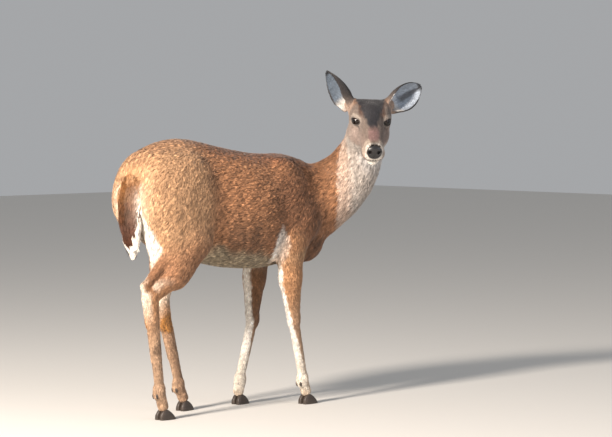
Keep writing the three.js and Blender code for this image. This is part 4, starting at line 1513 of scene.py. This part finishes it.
@dataclass(frozen=True)
class HoofHorn:
    """Horn of the claws: dark keratin grown in faint rings, worn satin."""

    name: str = "dark_hoof_horn"
    ring: float = 4.0
    colour: str = "#2c2521"
    pale: str = "#4a3f37"

    def material(self) -> bpy.types.Material:
        """Stretched noise across the height, one ring to each few millimetres."""
        made = Material(self.name)
        place = made.add("TexCoord").outputs["Object"]
        squeezed = made.add("Mapping", {"Vector": place, "Scale": (0.15, 0.15, 1.0)}).outputs["Vector"]
        rings = made.add("TexNoise", {"Vector": squeezed, "Scale": 1 / (self.ring * MM)}).outputs["Fac"]
        colour = made.add("Mix", {0: rings, 6: (*linear(self.colour), 1), 7: (*linear(self.pale), 1)},
                          data_type="RGBA")
        bump = made.add("Bump", {"Height": rings, "Strength": 0.4, "Distance": 0.4 * MM})
        return made.finished({
            "Base Color": colour.outputs[2],
            "Normal": bump.outputs["Normal"],
            "Roughness": 0.45,
        })


# ---- skin


@dataclass
class Skin:
    """One skin over all the flesh, with lids and ears, a coat's depth inside the solids."""

    flesh: Flesh
    frame: Frame
    markings: Markings
    cell: float = 9.0
    low: Vec = (-452, -430, 10)
    high: Vec = (612, 190, 1080)
    ground: float = 0.85  # brightness of the skin under the tufts

    def body_surface(self) -> tuple[Array, Array]:
        """The skin's surface without the ears: a net, refined and settled by turns."""
        points, quads = surface_net(self.flesh.skin, self.low, self.high, self.cell)
        faces = triangles(quads)
        points = settled(self.flesh.skin, points, 1)
        for _ in range(4):
            before = len(points)
            points, faces = refined(points, faces, self.flesh.wanted_edge)
            points = relaxed(points, faces, 0.4)
            points = settled(self.flesh.skin, points, 1)
            if len(points) < before * 1.02:
                break
        return settled(self.flesh.skin, relaxed(points, faces, 0.3), 2), faces

    def with_ears(self, points: Array, faces: Array) -> bpy.types.Object:
        """The body's surface and the ears' made one closed surface."""
        whole = new_object("skin", self.frame.metres(points), faces)
        for i, ear in enumerate(self.flesh.head.ears):
            leaf, quads = ear.shell()
            piece = new_object(f"ear_{i}", self.frame.metres(self.flesh.head.outward(leaf)), quads)
            join = whole.modifiers.new("join", "BOOLEAN")
            join.operation, join.solver, join.object = "UNION", "MANIFOLD", piece
            depsgraph = bpy.context.evaluated_depsgraph_get()
            mesh = bpy.data.meshes.new_from_object(whole.evaluated_get(depsgraph))
            whole.modifiers.clear()
            whole.data = mesh
            bpy.data.objects.remove(piece)
        return whole

    def build(self) -> bpy.types.Object:
        """Builds, unwraps and paints the skin.

        Returns:
            The skin's object.
        """
        points, faces = self.body_surface()
        log.info("skin before the ears: %d points, %d triangles", len(points), len(faces))
        whole = self.with_ears(points, faces)
        points, faces, _ = mesh_arrays(whole.data)
        bpy.data.objects.remove(whole)
        local = self.flesh.head.inward(self.frame.own(points))
        joint = np.zeros(len(points))  # how near the seam between an ear and the head
        for ear in self.flesh.head.ears:
            u, _, _, far = ear.place(local)
            joint = np.maximum(joint, ramp(far, 16, 8) * ramp(u, 0.3, 0.18) * ramp(u, -0.2, -0.05))
        for _ in range(5):
            points = relaxed(points, faces, 0.5 * joint)
        made = new_object("skin", points, faces)
        own = self.frame.own(points)
        reading = self.flesh.read(own)
        normal = corner_normals(points, faces)
        paint(made, self.markings.colour(own, normal, reading) * self.ground)
        self.unwrap(made)
        made.data.materials.append(DeerHair("short_deer_hair_ground", bump=0.5).material())
        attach(made, "root")
        return made

    def unwrap(self, made: bpy.types.Object) -> None:
        """Unwraps the skin into charts of nearly flat pieces, none over another."""
        bpy.context.view_layer.objects.active = made
        made.select_set(True)
        made.data.uv_layers.new(name="OFBake")
        bpy.ops.object.mode_set(mode="EDIT")
        bpy.ops.mesh.select_all(action="SELECT")
        bpy.ops.uv.smart_project(angle_limit=math.radians(75), island_margin=0.002)
        bpy.ops.object.mode_set(mode="OBJECT")
        made.select_set(False)


# ---- coat


def ear_hair(measure: str, inner: Array) -> Array:
    """A measure of the hair on the ears, by whether points are on the inner face."""
    inside, back = (getattr(kind.value, measure) for kind in (Growth.EAR_INSIDE, Growth.EAR_BACK))
    return np.where(inner, inside, back)


@dataclass
class Coat:
    """The tufts over the skin, in pieces by region; each is a three-sided blade that follows the lie."""

    flesh: Flesh
    frame: Frame
    markings: Markings
    skin: bpy.types.Object
    seed: int = 11
    most: int = 19500  # tufts to a piece
    patch: float = 0.003  # size of a tuft in the unwrap
    ear_reach: float = 6  # mm from the leaf's middle, within which a root is on the ear
    ear_start: float = 0.03  # and this share of its length from the root
    none: float = 1e4  # spacing that leaves skin bare
    sway: float = 7  # degrees a tuft turns by chance
    drift: float = 9  # degrees the lie turns in patches
    lying: float = 0.74  # how high in the coat a tip usually ends
    loose: float = 0.03  # share of the tufts whose tips stand at its full depth
    gland_length: float = 0.8  # how much longer the hair is on the tarsal gland
    gland_depth: float = 2.2  # and how much deeper
    widths: tuple[float, float] = (0.42, 0.5)  # half width of the root and middle rings, of a tuft's
    keel: float = 0.18  # height of a ring's third corner, of a tuft's width
    tilts: tuple[float, ...] = (-0.4, 0.4, 0, -0.4, 0.4, 0, 0)  # of the normals at a blade's points
    shades: tuple[float, ...] = (0.82, 0.82, 0.86, 0.99, 0.99, 1.02, 1.08)  # dark roots, pale tips
    curl_shade: dict[Region, float] = field(
        default_factory=lambda: {
            Region.TRUNK: 0.42,
            Region.THIGH: 0.24,
            Region.NECK: 0.25,
            Region.FORELEG: 0.16,
            Region.HINDLEG: 0.2,
            Region.HEAD: 0.0,
            Region.TAIL: 0.05,
        }
    )  # how much darker and paler the coat's small curls are: painted shade and painted light

    def roots(self) -> dict[str, Array]:
        """Scatters roots over the skin, as many to each triangle as its area and spacing ask.

        Returns:
            The roots' places, the skin's normals there, and their places in its unwrap.
        """
        rng = np.random.default_rng(self.seed)
        points, faces, loops = mesh_arrays(self.skin.data)
        uv = np.zeros(len(self.skin.data.loops) * 2)
        self.skin.data.uv_layers["OFBake"].data.foreach_get("uv", uv)
        uv = uv.reshape(-1, 2)
        own = self.frame.own(points)
        normals = corner_normals(own, faces)
        a, b, c = own[faces].transpose(1, 0, 2)
        area = np.linalg.norm(np.cross(b - a, c - a), axis=1) / 2
        wanted = area / self.spacing((a + b + c) / 3) ** 2
        count = np.floor(wanted + rng.uniform(size=len(area))).astype(int)
        face = np.repeat(np.arange(len(faces)), count)
        r1, r2 = np.sqrt(rng.uniform(size=len(face))), rng.uniform(size=len(face))
        share = np.stack([1 - r1, r1 * (1 - r2), r1 * r2], 1)[:, :, None]
        return {
            "at": (own[faces[face]] * share).sum(1),
            "normal": unit((normals[faces[face]] * share).sum(1)),
            "uv": (uv[loops[face]] * share).sum(1),
        }

    def on_ears(self, q: Array) -> Iterator[tuple[Ear, Array, Array, Array, Array]]:
        """Each ear, the shares along and round it, the inner face, and which points lie on it."""
        for ear in self.flesh.head.ears:
            u, t, inner, far = ear.place(q)
            yield ear, u, t, inner, (far < self.ear_reach) & (u > self.ear_start)

    def spacing(self, p: Array) -> Array:
        """Spacing of the roots, the ears' own on the ears, and none on bare skin: nose and lids."""
        head = self.flesh.head
        q = head.inward(p)
        spacing = self.flesh.read(p).spacing
        for _, _, _, inner, on in self.on_ears(q):
            spacing = np.where(on, ear_hair("spacing", inner), spacing)
        bare = np.linalg.norm((q - np.array(head.nose_at)) / head.nose_size, axis=1) < 1.02
        for eye in head.eyes:
            bare |= (eye.almond(q) < 2.2) & (far_from(eye.centre, q) < 24)
        return np.where(bare, self.none, spacing)

    def blades(self, roots: dict[str, Array]) -> dict[str, Array]:
        """Shapes every tuft.

        Each is a root ring under the skin, a middle ring and a tip. The middle and the tip are set
        by the flesh's distance, so that long tufts bend with the body and stay inside its outline.

        Args:
            roots: places, normals and unwrap places of the roots.

        Returns:
            Points, normals and colours (n, 7, 3), and unwrap places (n, 7, 2).
        """
        rng = np.random.default_rng(self.seed + 1)
        at, normal = roots["at"], roots["normal"]
        n = len(at)
        reading = self.flesh.read(at)
        length, width, lie = reading.length, reading.width, reading.lie
        depth = np.maximum(-reading.distance, 0.8)
        on_ear = np.zeros(n, bool)
        for ear, u, t, inner, on in self.on_ears(self.flesh.head.inward(at)):
            on_ear |= on
            fade = np.where(inner, ramp(u, 1.02, 0.75) * ramp(np.abs(t), 1.15, 0.7), ramp(u, 1.1, 0.9))
            length = np.where(on, ear_hair("length", inner) * fade, length)
            width = np.where(on, ear_hair("width", inner), width)
            depth = np.where(on, ear_hair("depth", inner), depth)
            lie = np.where(on[:, None], self.flesh.head.axes @ ear.axes[:, 0], lie)
        clump = ripple(at, 17, 3) + 0.6 * ripple(at, 8, 5)
        turn = np.radians(self.sway) * rng.normal(size=n) + np.radians(self.drift) * ripple(at, 34, 6)
        c, s = np.cos(turn)[:, None], np.sin(turn)[:, None]
        lie = unit(lie - normal * (lie * normal).sum(1)[:, None])
        side = np.cross(normal, lie)
        lie, side = lie * c + side * s, side * c - lie * s
        gland = self.markings.gland(at, normal) * (reading.shares[:, Region.HINDLEG.value] > 0.5)
        length, depth = length * (1 + self.gland_length * gland), depth * (1 + self.gland_depth * gland)
        on_tail = reading.shares[:, Region.TAIL.value] > 0.5
        length = length * np.where(on_tail, np.interp(at[:, 2], (505, 575), (0.2, 1)), 1)
        length = length * np.exp(0.16 * rng.normal(size=n))
        width = width * rng.uniform(0.8, 1.25, n)
        lift = np.clip(self.lying + 0.13 * clump + 0.07 * rng.normal(size=n), 0.2, 0.97)
        lift = np.where(rng.uniform(size=n) < self.loose, 1.0, lift)

        def station(share: float, height: float) -> Array:
            """Places on the blades: a share of the length along, and of the tip's height up."""
            p = at + lie * (length * share)[:, None]
            here = self.flesh.read(p, full=False).distance
            rise = -depth * (1 - lift * height) - here
            rise = np.where(on_ear, depth * lift * height * 0.8, rise)
            return p + normal * np.clip(rise, -0.5 * length, depth)[:, None]

        root = at - normal * np.minimum(1.2, 0.3 * depth)[:, None]
        points = np.zeros((n, 7, 3))
        for k, centre in enumerate((root, station(0.5, 0.75))):
            half = side * (width * self.widths[k])[:, None]
            points[:, 3 * k] = centre - half
            points[:, 3 * k + 1] = centre + half
            points[:, 3 * k + 2] = centre + normal * (width * self.keel)[:, None]
        points[:, 6] = station(1.0, 1.0)
        tilts, shades = (np.array(v)[None, :, None] for v in (self.tilts, self.shades))
        scatter = 0.12 * rng.normal(size=(n, 1, 3))
        normals = unit(normal[:, None, :] + tilts * side[:, None, :] + scatter)
        base = self.markings.colour(at, normal, reading)
        # painted light and shade: curls and clumps darker and paler in patches, as sun and shadow on a
        # rough coat
        curl_shade = ripple(at * (0.7, 0.7, 1.25), 11, 21)
        curl_shade_strength = reading.shares @ np.array([self.curl_shade[region] for region in Region])
        tone = np.exp(0.09 * rng.normal(size=n) + 0.09 * clump + curl_shade_strength * curl_shade)[:, None, None]
        colours = np.clip(base[:, None, :] * tone * shades, 0, 0.95)
        flat = ((-0.5, 0), (0.5, 0), (0, 0), (-0.35, 0.5), (0.35, 0.5), (0, 0.5), (0, 1))
        spot = np.array(flat) * self.patch
        spot -= spot.mean(0)
        uv = roots["uv"][:, None, :] + spot
        return {"points": points, "normals": normals, "colours": colours, "uv": uv}

    def build(self) -> list[bpy.types.Object]:
        """Builds the coat's pieces, split along X so that none has too many tufts.

        Returns:
            The pieces.
        """
        roots = self.roots()
        made = self.blades(roots)
        log.info("tufts in all: %d", len(roots["at"]))
        groups = self.groups(roots["at"])
        body_hair = DeerHair("short_deer_hair").material()
        tail_hair = DeerHair("long_tail_hair", gloss=0.08, sheen=0.0).material()
        sides = ((0, 1, 4), (0, 4, 3), (1, 2, 5), (1, 5, 4), (2, 0, 3), (2, 3, 5))
        blade = np.array((*sides, (3, 4, 6), (4, 5, 6), (5, 3, 6), (0, 2, 1)))
        pieces = []
        for name, rows in groups.items():
            parts = math.ceil(len(rows) / self.most)
            for k, part in enumerate(np.array_split(rows, parts)):
                title = f"coat_{name}_{k + 1}" if parts > 1 else f"coat_{name}"
                points = self.frame.metres(made["points"][part].reshape(-1, 3))
                faces = (blade[None] + 7 * np.arange(len(part))[:, None, None]).reshape(-1, 3)
                piece = new_object(title, points, faces)
                piece.data.normals_split_custom_set_from_vertices(made["normals"][part].reshape(-1, 3))
                paint(piece, made["colours"][part].reshape(-1, 3))
                lay_out(piece, made["uv"][part].reshape(-1, 2))
                piece.data.materials.append(tail_hair if name == "tail" else body_hair)
                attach(piece, "root")
                pieces.append(piece)
                log.info("%s: %d tufts", piece.name, len(part))
        return pieces

    def groups(self, at: Array) -> dict[str, Array]:
        """Sorts roots into trunk, haunch, neck, legs, head and tail, and by X within each."""
        region = self.flesh.read(at).shares.argmax(1)
        names = {
            "trunk": (Region.TRUNK,),
            "haunch": (Region.THIGH,),
            "neck": (Region.NECK,),
            "legs": (Region.FORELEG, Region.HINDLEG),
            "head": (Region.HEAD,),
            "tail": (Region.TAIL,),
        }
        found = {}
        for name, regions in names.items():
            rows = np.flatnonzero(np.isin(region, [r.value for r in regions]))
            found[name] = rows[np.argsort(at[rows, 0], kind="stable")]
        return found


# ---- eyes, nose, hooves


@dataclass
class Eyeball:
    """A ball with a slightly domed cornea, a wide dark pupil and a brown iris."""

    flesh: Flesh
    frame: Frame
    eye: Eye
    name: str
    rings: int = 36
    around: int = 48
    dome: float = 0.03  # how far the cornea stands out, of the radius
    fit: float = 0.985  # of the solid ball's radius
    iris: str = "#1c0f08"
    pupil: str = "#050303"
    edge: str = "#120b08"

    def build(self, material: bpy.types.Material) -> bpy.types.Object:
        """A sphere about the outward axis, domed in front, and its dark colours."""
        ball = sphere(self.rings, self.around)
        dome = 1 + self.dome * ball[:, 2].clip(0) ** 6
        ball = ball * (dome * self.eye.radius * self.fit)[:, None]
        place = self.eye.centre + ball @ self.eye.axes.T
        faces = tube_faces(self.rings, self.around)
        obj = new_object(self.name, self.frame.metres(self.flesh.head.outward(place)), faces)
        clean_up(obj)
        points, _, _ = mesh_arrays(obj.data)
        q = (self.flesh.head.inward(self.frame.own(points)) - self.eye.centre) @ self.eye.axes
        paint(obj, painted(self.iris, len(q), [
            (self.pupil, ramp(np.hypot(q[:, 0], q[:, 1] * 1.5), 9.5, 7.5)),
            (self.edge, ramp(np.hypot(q[:, 0], q[:, 1]), 12.5, 14)),
        ]))
        obj.data.materials.append(material)
        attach(obj, "root")
        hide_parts(self.name)
        return obj


def clean_up(obj: bpy.types.Object) -> None:
    """Welds the points that coincide, as at a pole, and turns all faces outward."""
    shape = bmesh.new()
    shape.from_mesh(obj.data)
    bmesh.ops.remove_doubles(shape, verts=shape.verts, dist=1e-6)
    bmesh.ops.dissolve_degenerate(shape, edges=shape.edges, dist=1e-7)
    bmesh.ops.recalc_face_normals(shape, faces=shape.faces)
    for face in shape.faces:
        face.smooth = True
    shape.to_mesh(obj.data)
    shape.free()


@dataclass
class Nose:
    """The bare nose pad with its nostrils, cut from the muzzle's own surface."""

    flesh: Flesh
    frame: Frame
    cell: float = 1.6
    room: float = 4  # round the pad, in the box that is searched for it

    def distance(self, q: Array) -> Array:
        """Inside both the muzzle and an egg, less two commas for the nostrils; in the head's frame."""
        head = self.flesh.head
        muzzle = np.full(len(q), FAR)
        for mass in self.flesh.head_masses:
            muzzle = melt(muzzle, mass.distance(q), mass.blend)
        egg = Lump(at=head.nose_at, size=head.nose_size).distance(q)
        pad = cut(np.maximum(muzzle, egg), -egg, 3)
        groove = 1.4 * np.exp(-((q[:, 1] / 1.6) ** 2)) * ramp(q[:, 2], -34, -42)
        pad = pad + groove
        for s in (1, -1):
            hole = Lump(at=(163, s * 13.5, -38), size=(7, 5.0, 6.6), turn=(s * 20, 0, s * 30))
            slit = Limb(start=(162, s * 17, -35), end=(154, s * 24, -28), radii=(3.4, 1.6))
            pad = cut(pad, melt(hole.distance(q), slit.distance(q), 4), 2)
        return pad

    def build(self, material: bpy.types.Material) -> bpy.types.Object:
        """Nets the pad's distance and settles it."""
        head = self.flesh.head
        reach = np.array(head.nose_size) + self.room
        low, high = np.array(head.nose_at) - reach, np.array(head.nose_at) + reach
        points, quads = surface_net(self.distance, tuple(low), tuple(high), self.cell)
        points = settled(self.distance, points, 2, h=0.2)
        obj = new_object("nose_pad", self.frame.metres(head.outward(points)), triangles(quads))
        obj.data.materials.append(material)
        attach(obj, "root")
        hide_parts("nose")
        return obj


@dataclass
class Hoof:
    """One claw of a foot on its flat sole, or one dewclaw behind the fetlock."""

    frame: Frame
    horn: bpy.types.Material
    rings: int = 26
    around: int = 20
    places: tuple[float, ...] = (-25, -17, -3, 14, 27, 34)
    heights: tuple[float, ...] = (18, 29, 34, 26, 14, 6)
    half_widths: tuple[float, ...] = (7, 9.7, 10, 8.8, 5.8, 2.5)
    spread: float = 10.6
    toe_in: float = 0.03
    egg: Vec = (5.2, 4.6, 9.0)  # half sizes of a dewclaw
    egg_off: Vec = (16.5, 9.0, 14)  # how far it lies behind, beside and below the fetlock
    egg_net: tuple[int, int] = (14, 20)

    def claw(self, name: str, hoof: Vec, turn: float, side: int) -> bpy.types.Object:
        """A D-shaped section carried from heel to toe: a half superellipse on a flat base.

        Args:
            name: the CAD node it stands for.
            hoof: the foot's middle at the coronet.
            turn: how far the foot turns out, degrees.
            side: which side of the foot the claw is on.

        Returns:
            The claw's object.
        """
        x = np.linspace(self.places[0], self.places[-1], self.rings)[:, None] * np.ones((1, self.around))
        height = curve(x, self.places, self.heights)
        half = curve(x, self.places, self.half_widths)
        a = np.linspace(0, math.pi, self.around - 2)
        across = np.concatenate([[-1], -np.sign(np.cos(a)) * np.abs(np.cos(a)) ** 0.6, [1]])[None, :]
        up = np.concatenate([[0.0], 0.06 + 0.94 * np.abs(np.sin(a)) ** 0.8, [0.0]])[None, :]
        flatter = np.where(across * side > 0, 1, 0.8)
        y = -side * (x - self.places[0]) * self.toe_in + across * half * flatter
        p = np.stack([x, y, up * height], -1).reshape(-1, 3)
        c, s = math.cos(math.radians(turn)), math.sin(math.radians(turn))
        turned = np.stack([p[:, 0] * c - p[:, 1] * s, p[:, 0] * s + p[:, 1] * c, p[:, 2]], 1)
        place = turned + np.array((hoof[0] + 2, hoof[1] + side * self.spread, 0))
        return self.dressed(name, place, self.rings, self.around)

    def dewclaw(self, name: str, fetlock: Vec, side: int) -> bpy.types.Object:
        """A small egg of horn behind the fetlock, wider above."""
        rings, around = self.egg_net
        ball = sphere(rings, around)
        wider = 1 + 0.25 * ball[:, [2]]
        ball = ball * self.egg
        ball[:, :2] *= wider
        back, out, down = self.egg_off
        place = ball + np.array((fetlock[0] - back, fetlock[1] + side * out, fetlock[2] - down))
        return self.dressed(name, place, rings, around)

    def dressed(self, node: str, place: Array, rings: int, around: int) -> bpy.types.Object:
        """A piece of horn from rings of points: made, welded, coloured and placed."""
        obj = new_object(node, self.frame.metres(place), tube_faces(rings, around))
        clean_up(obj)
        obj.data.materials.append(self.horn)
        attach(obj, "root")
        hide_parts(node)
        return obj


# ---- studio


@dataclass
class Studio:
    """A pale floor, soft studio light from behind her and a little to her right, and the camera."""

    frame: Frame
    azimuth: float = -42
    elevation: float = 3.5
    distance: float = 9.0
    aim: Vec = (0, 0, 536)  # the point the framing is measured from
    breadth: float = 2.0198  # metres across the picture at the aim
    aside: float = 0.2739  # metres from the aim to the middle of the picture, to the right
    over: float = 0.0957  # and upward
    film: float = 36  # mm
    middle: float = 0.6  # metres from the floor to what the lights face
    floor_half: float = 14.0  # metres
    floor_colour: str = "#d8d5d0"
    sky: str = "#eef0f3"
    sky_strength: float = 0.44

    def camera(self) -> None:
        """Stands the camera off from the aim and turns it to the picture's middle, right and up."""
        a, e = math.radians(self.azimuth), math.radians(self.elevation)
        back = np.array((math.sin(a) * math.cos(e), -math.cos(a) * math.cos(e), math.sin(e)))
        right = np.array((math.cos(a), math.sin(a), 0))
        up = np.cross(back, right)
        aim = self.frame.metres(np.array(self.aim))
        look = -back * self.distance + right * self.aside + up * self.over
        data = bpy.data.cameras.new("camera")
        data.sensor_width = self.film
        data.lens = self.film * self.distance / self.breadth
        data.clip_end = 60
        camera = bpy.data.objects.new("camera", data)
        bpy.context.scene.collection.objects.link(camera)
        camera.location = Vector(aim + back * self.distance)
        camera.rotation_mode = "QUATERNION"
        camera.rotation_quaternion = Vector(look).to_track_quat("-Z", "Y")
        bpy.context.scene.camera = camera

    def light(self, name: str, at: Vec, far: float, size: float, power: float, colour: str) -> None:
        """A square soft box that faces the doe's middle: metres away and across, watts."""
        data = bpy.data.lights.new(name, "AREA")
        data.size, data.energy, data.color = size, power, tuple(linear(colour))
        lamp = bpy.data.objects.new(name, data)
        bpy.context.scene.collection.objects.link(lamp)
        lamp.location = Vector(unit(at) * far + np.array((0, 0, self.middle)))
        lamp.rotation_mode = "QUATERNION"
        lamp.rotation_quaternion = Vector(-unit(at)).to_track_quat("-Z", "Y")

    def build(self) -> None:
        """Makes floor, lights, world and camera."""
        corners = self.floor_half * np.array(((-1, -1, 0), (1, -1, 0), (1, 1, 0), (-1, 1, 0)))
        floor = new_object("floor", corners, np.array(((0, 1, 2, 3),)), smooth=False)
        matte = Material("pale_studio_floor")
        floor.data.materials.append(
            matte.finished({"Base Color": (*linear(self.floor_colour), 1), "Roughness": 0.9})
        )
        world = bpy.data.worlds.new("studio")
        bpy.context.scene.world = world
        world.use_nodes = True
        background = world.node_tree.nodes["Background"].inputs
        background["Color"].default_value = (*linear(self.sky), 1)
        background["Strength"].default_value = self.sky_strength
        self.light("key", (-0.93, -0.17, 0.42), 6.5, 0.8, 900, "#fff3e6")
        self.light("fill", (0.2, -1.0, 0.35), 7.0, 4.0, 80, "#e6eeff")
        bpy.context.scene.view_settings.view_transform = "Standard"
        self.camera()


# ---- the doe


def main() -> None:
    """Builds the doe piece by piece, and the studio round her."""
    logging.basicConfig(level=logging.INFO, format="%(relativeCreated)6.0f ms  %(message)s")
    flesh = Flesh()
    place = Frame(flesh)
    markings = Markings(flesh)
    skin = Skin(flesh, place, markings).build()
    horn_nodes = [n for n in frame["nodes"] if "claw" in n]
    apart = {"nose", "eye_left", "eye_right", *horn_nodes}
    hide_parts(*[n for n in frame["nodes"] if n not in apart])
    log.info("skin: %d triangles", len(skin.data.polygons))
    for piece in Coat(flesh, place, markings, skin).build():
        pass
    wet = WetEye().material()
    for eye, name in zip(flesh.head.eyes, ("eye_left", "eye_right")):
        Eyeball(flesh, place, eye, name).build(wet)
    nose = Nose(flesh, place).build(NoseLeather().material())
    log.info("nose: %d triangles", len(nose.data.polygons))
    hoof = Hoof(place, HoofHorn().material())
    horn = []
    for pair, legs, turned_out in (("fore", flesh.forelegs, 5), ("hind", flesh.hindlegs, 6)):
        for leg, name in zip(legs, ("left", "right")):
            for which, side in (("outer", leg.side), ("inner", -leg.side)):
                turn = leg.side * turned_out
                horn.append(hoof.claw(f"{pair}_claw_{name}_{which}", leg.hoof, turn, side))
                horn.append(hoof.dewclaw(f"{pair}_dewclaw_{name}_{which}", leg.fetlock, side))
    log.info("claws and dewclaws: %d", len(horn))
    Studio(place).build()


if __name__ == "__main__":
    main()
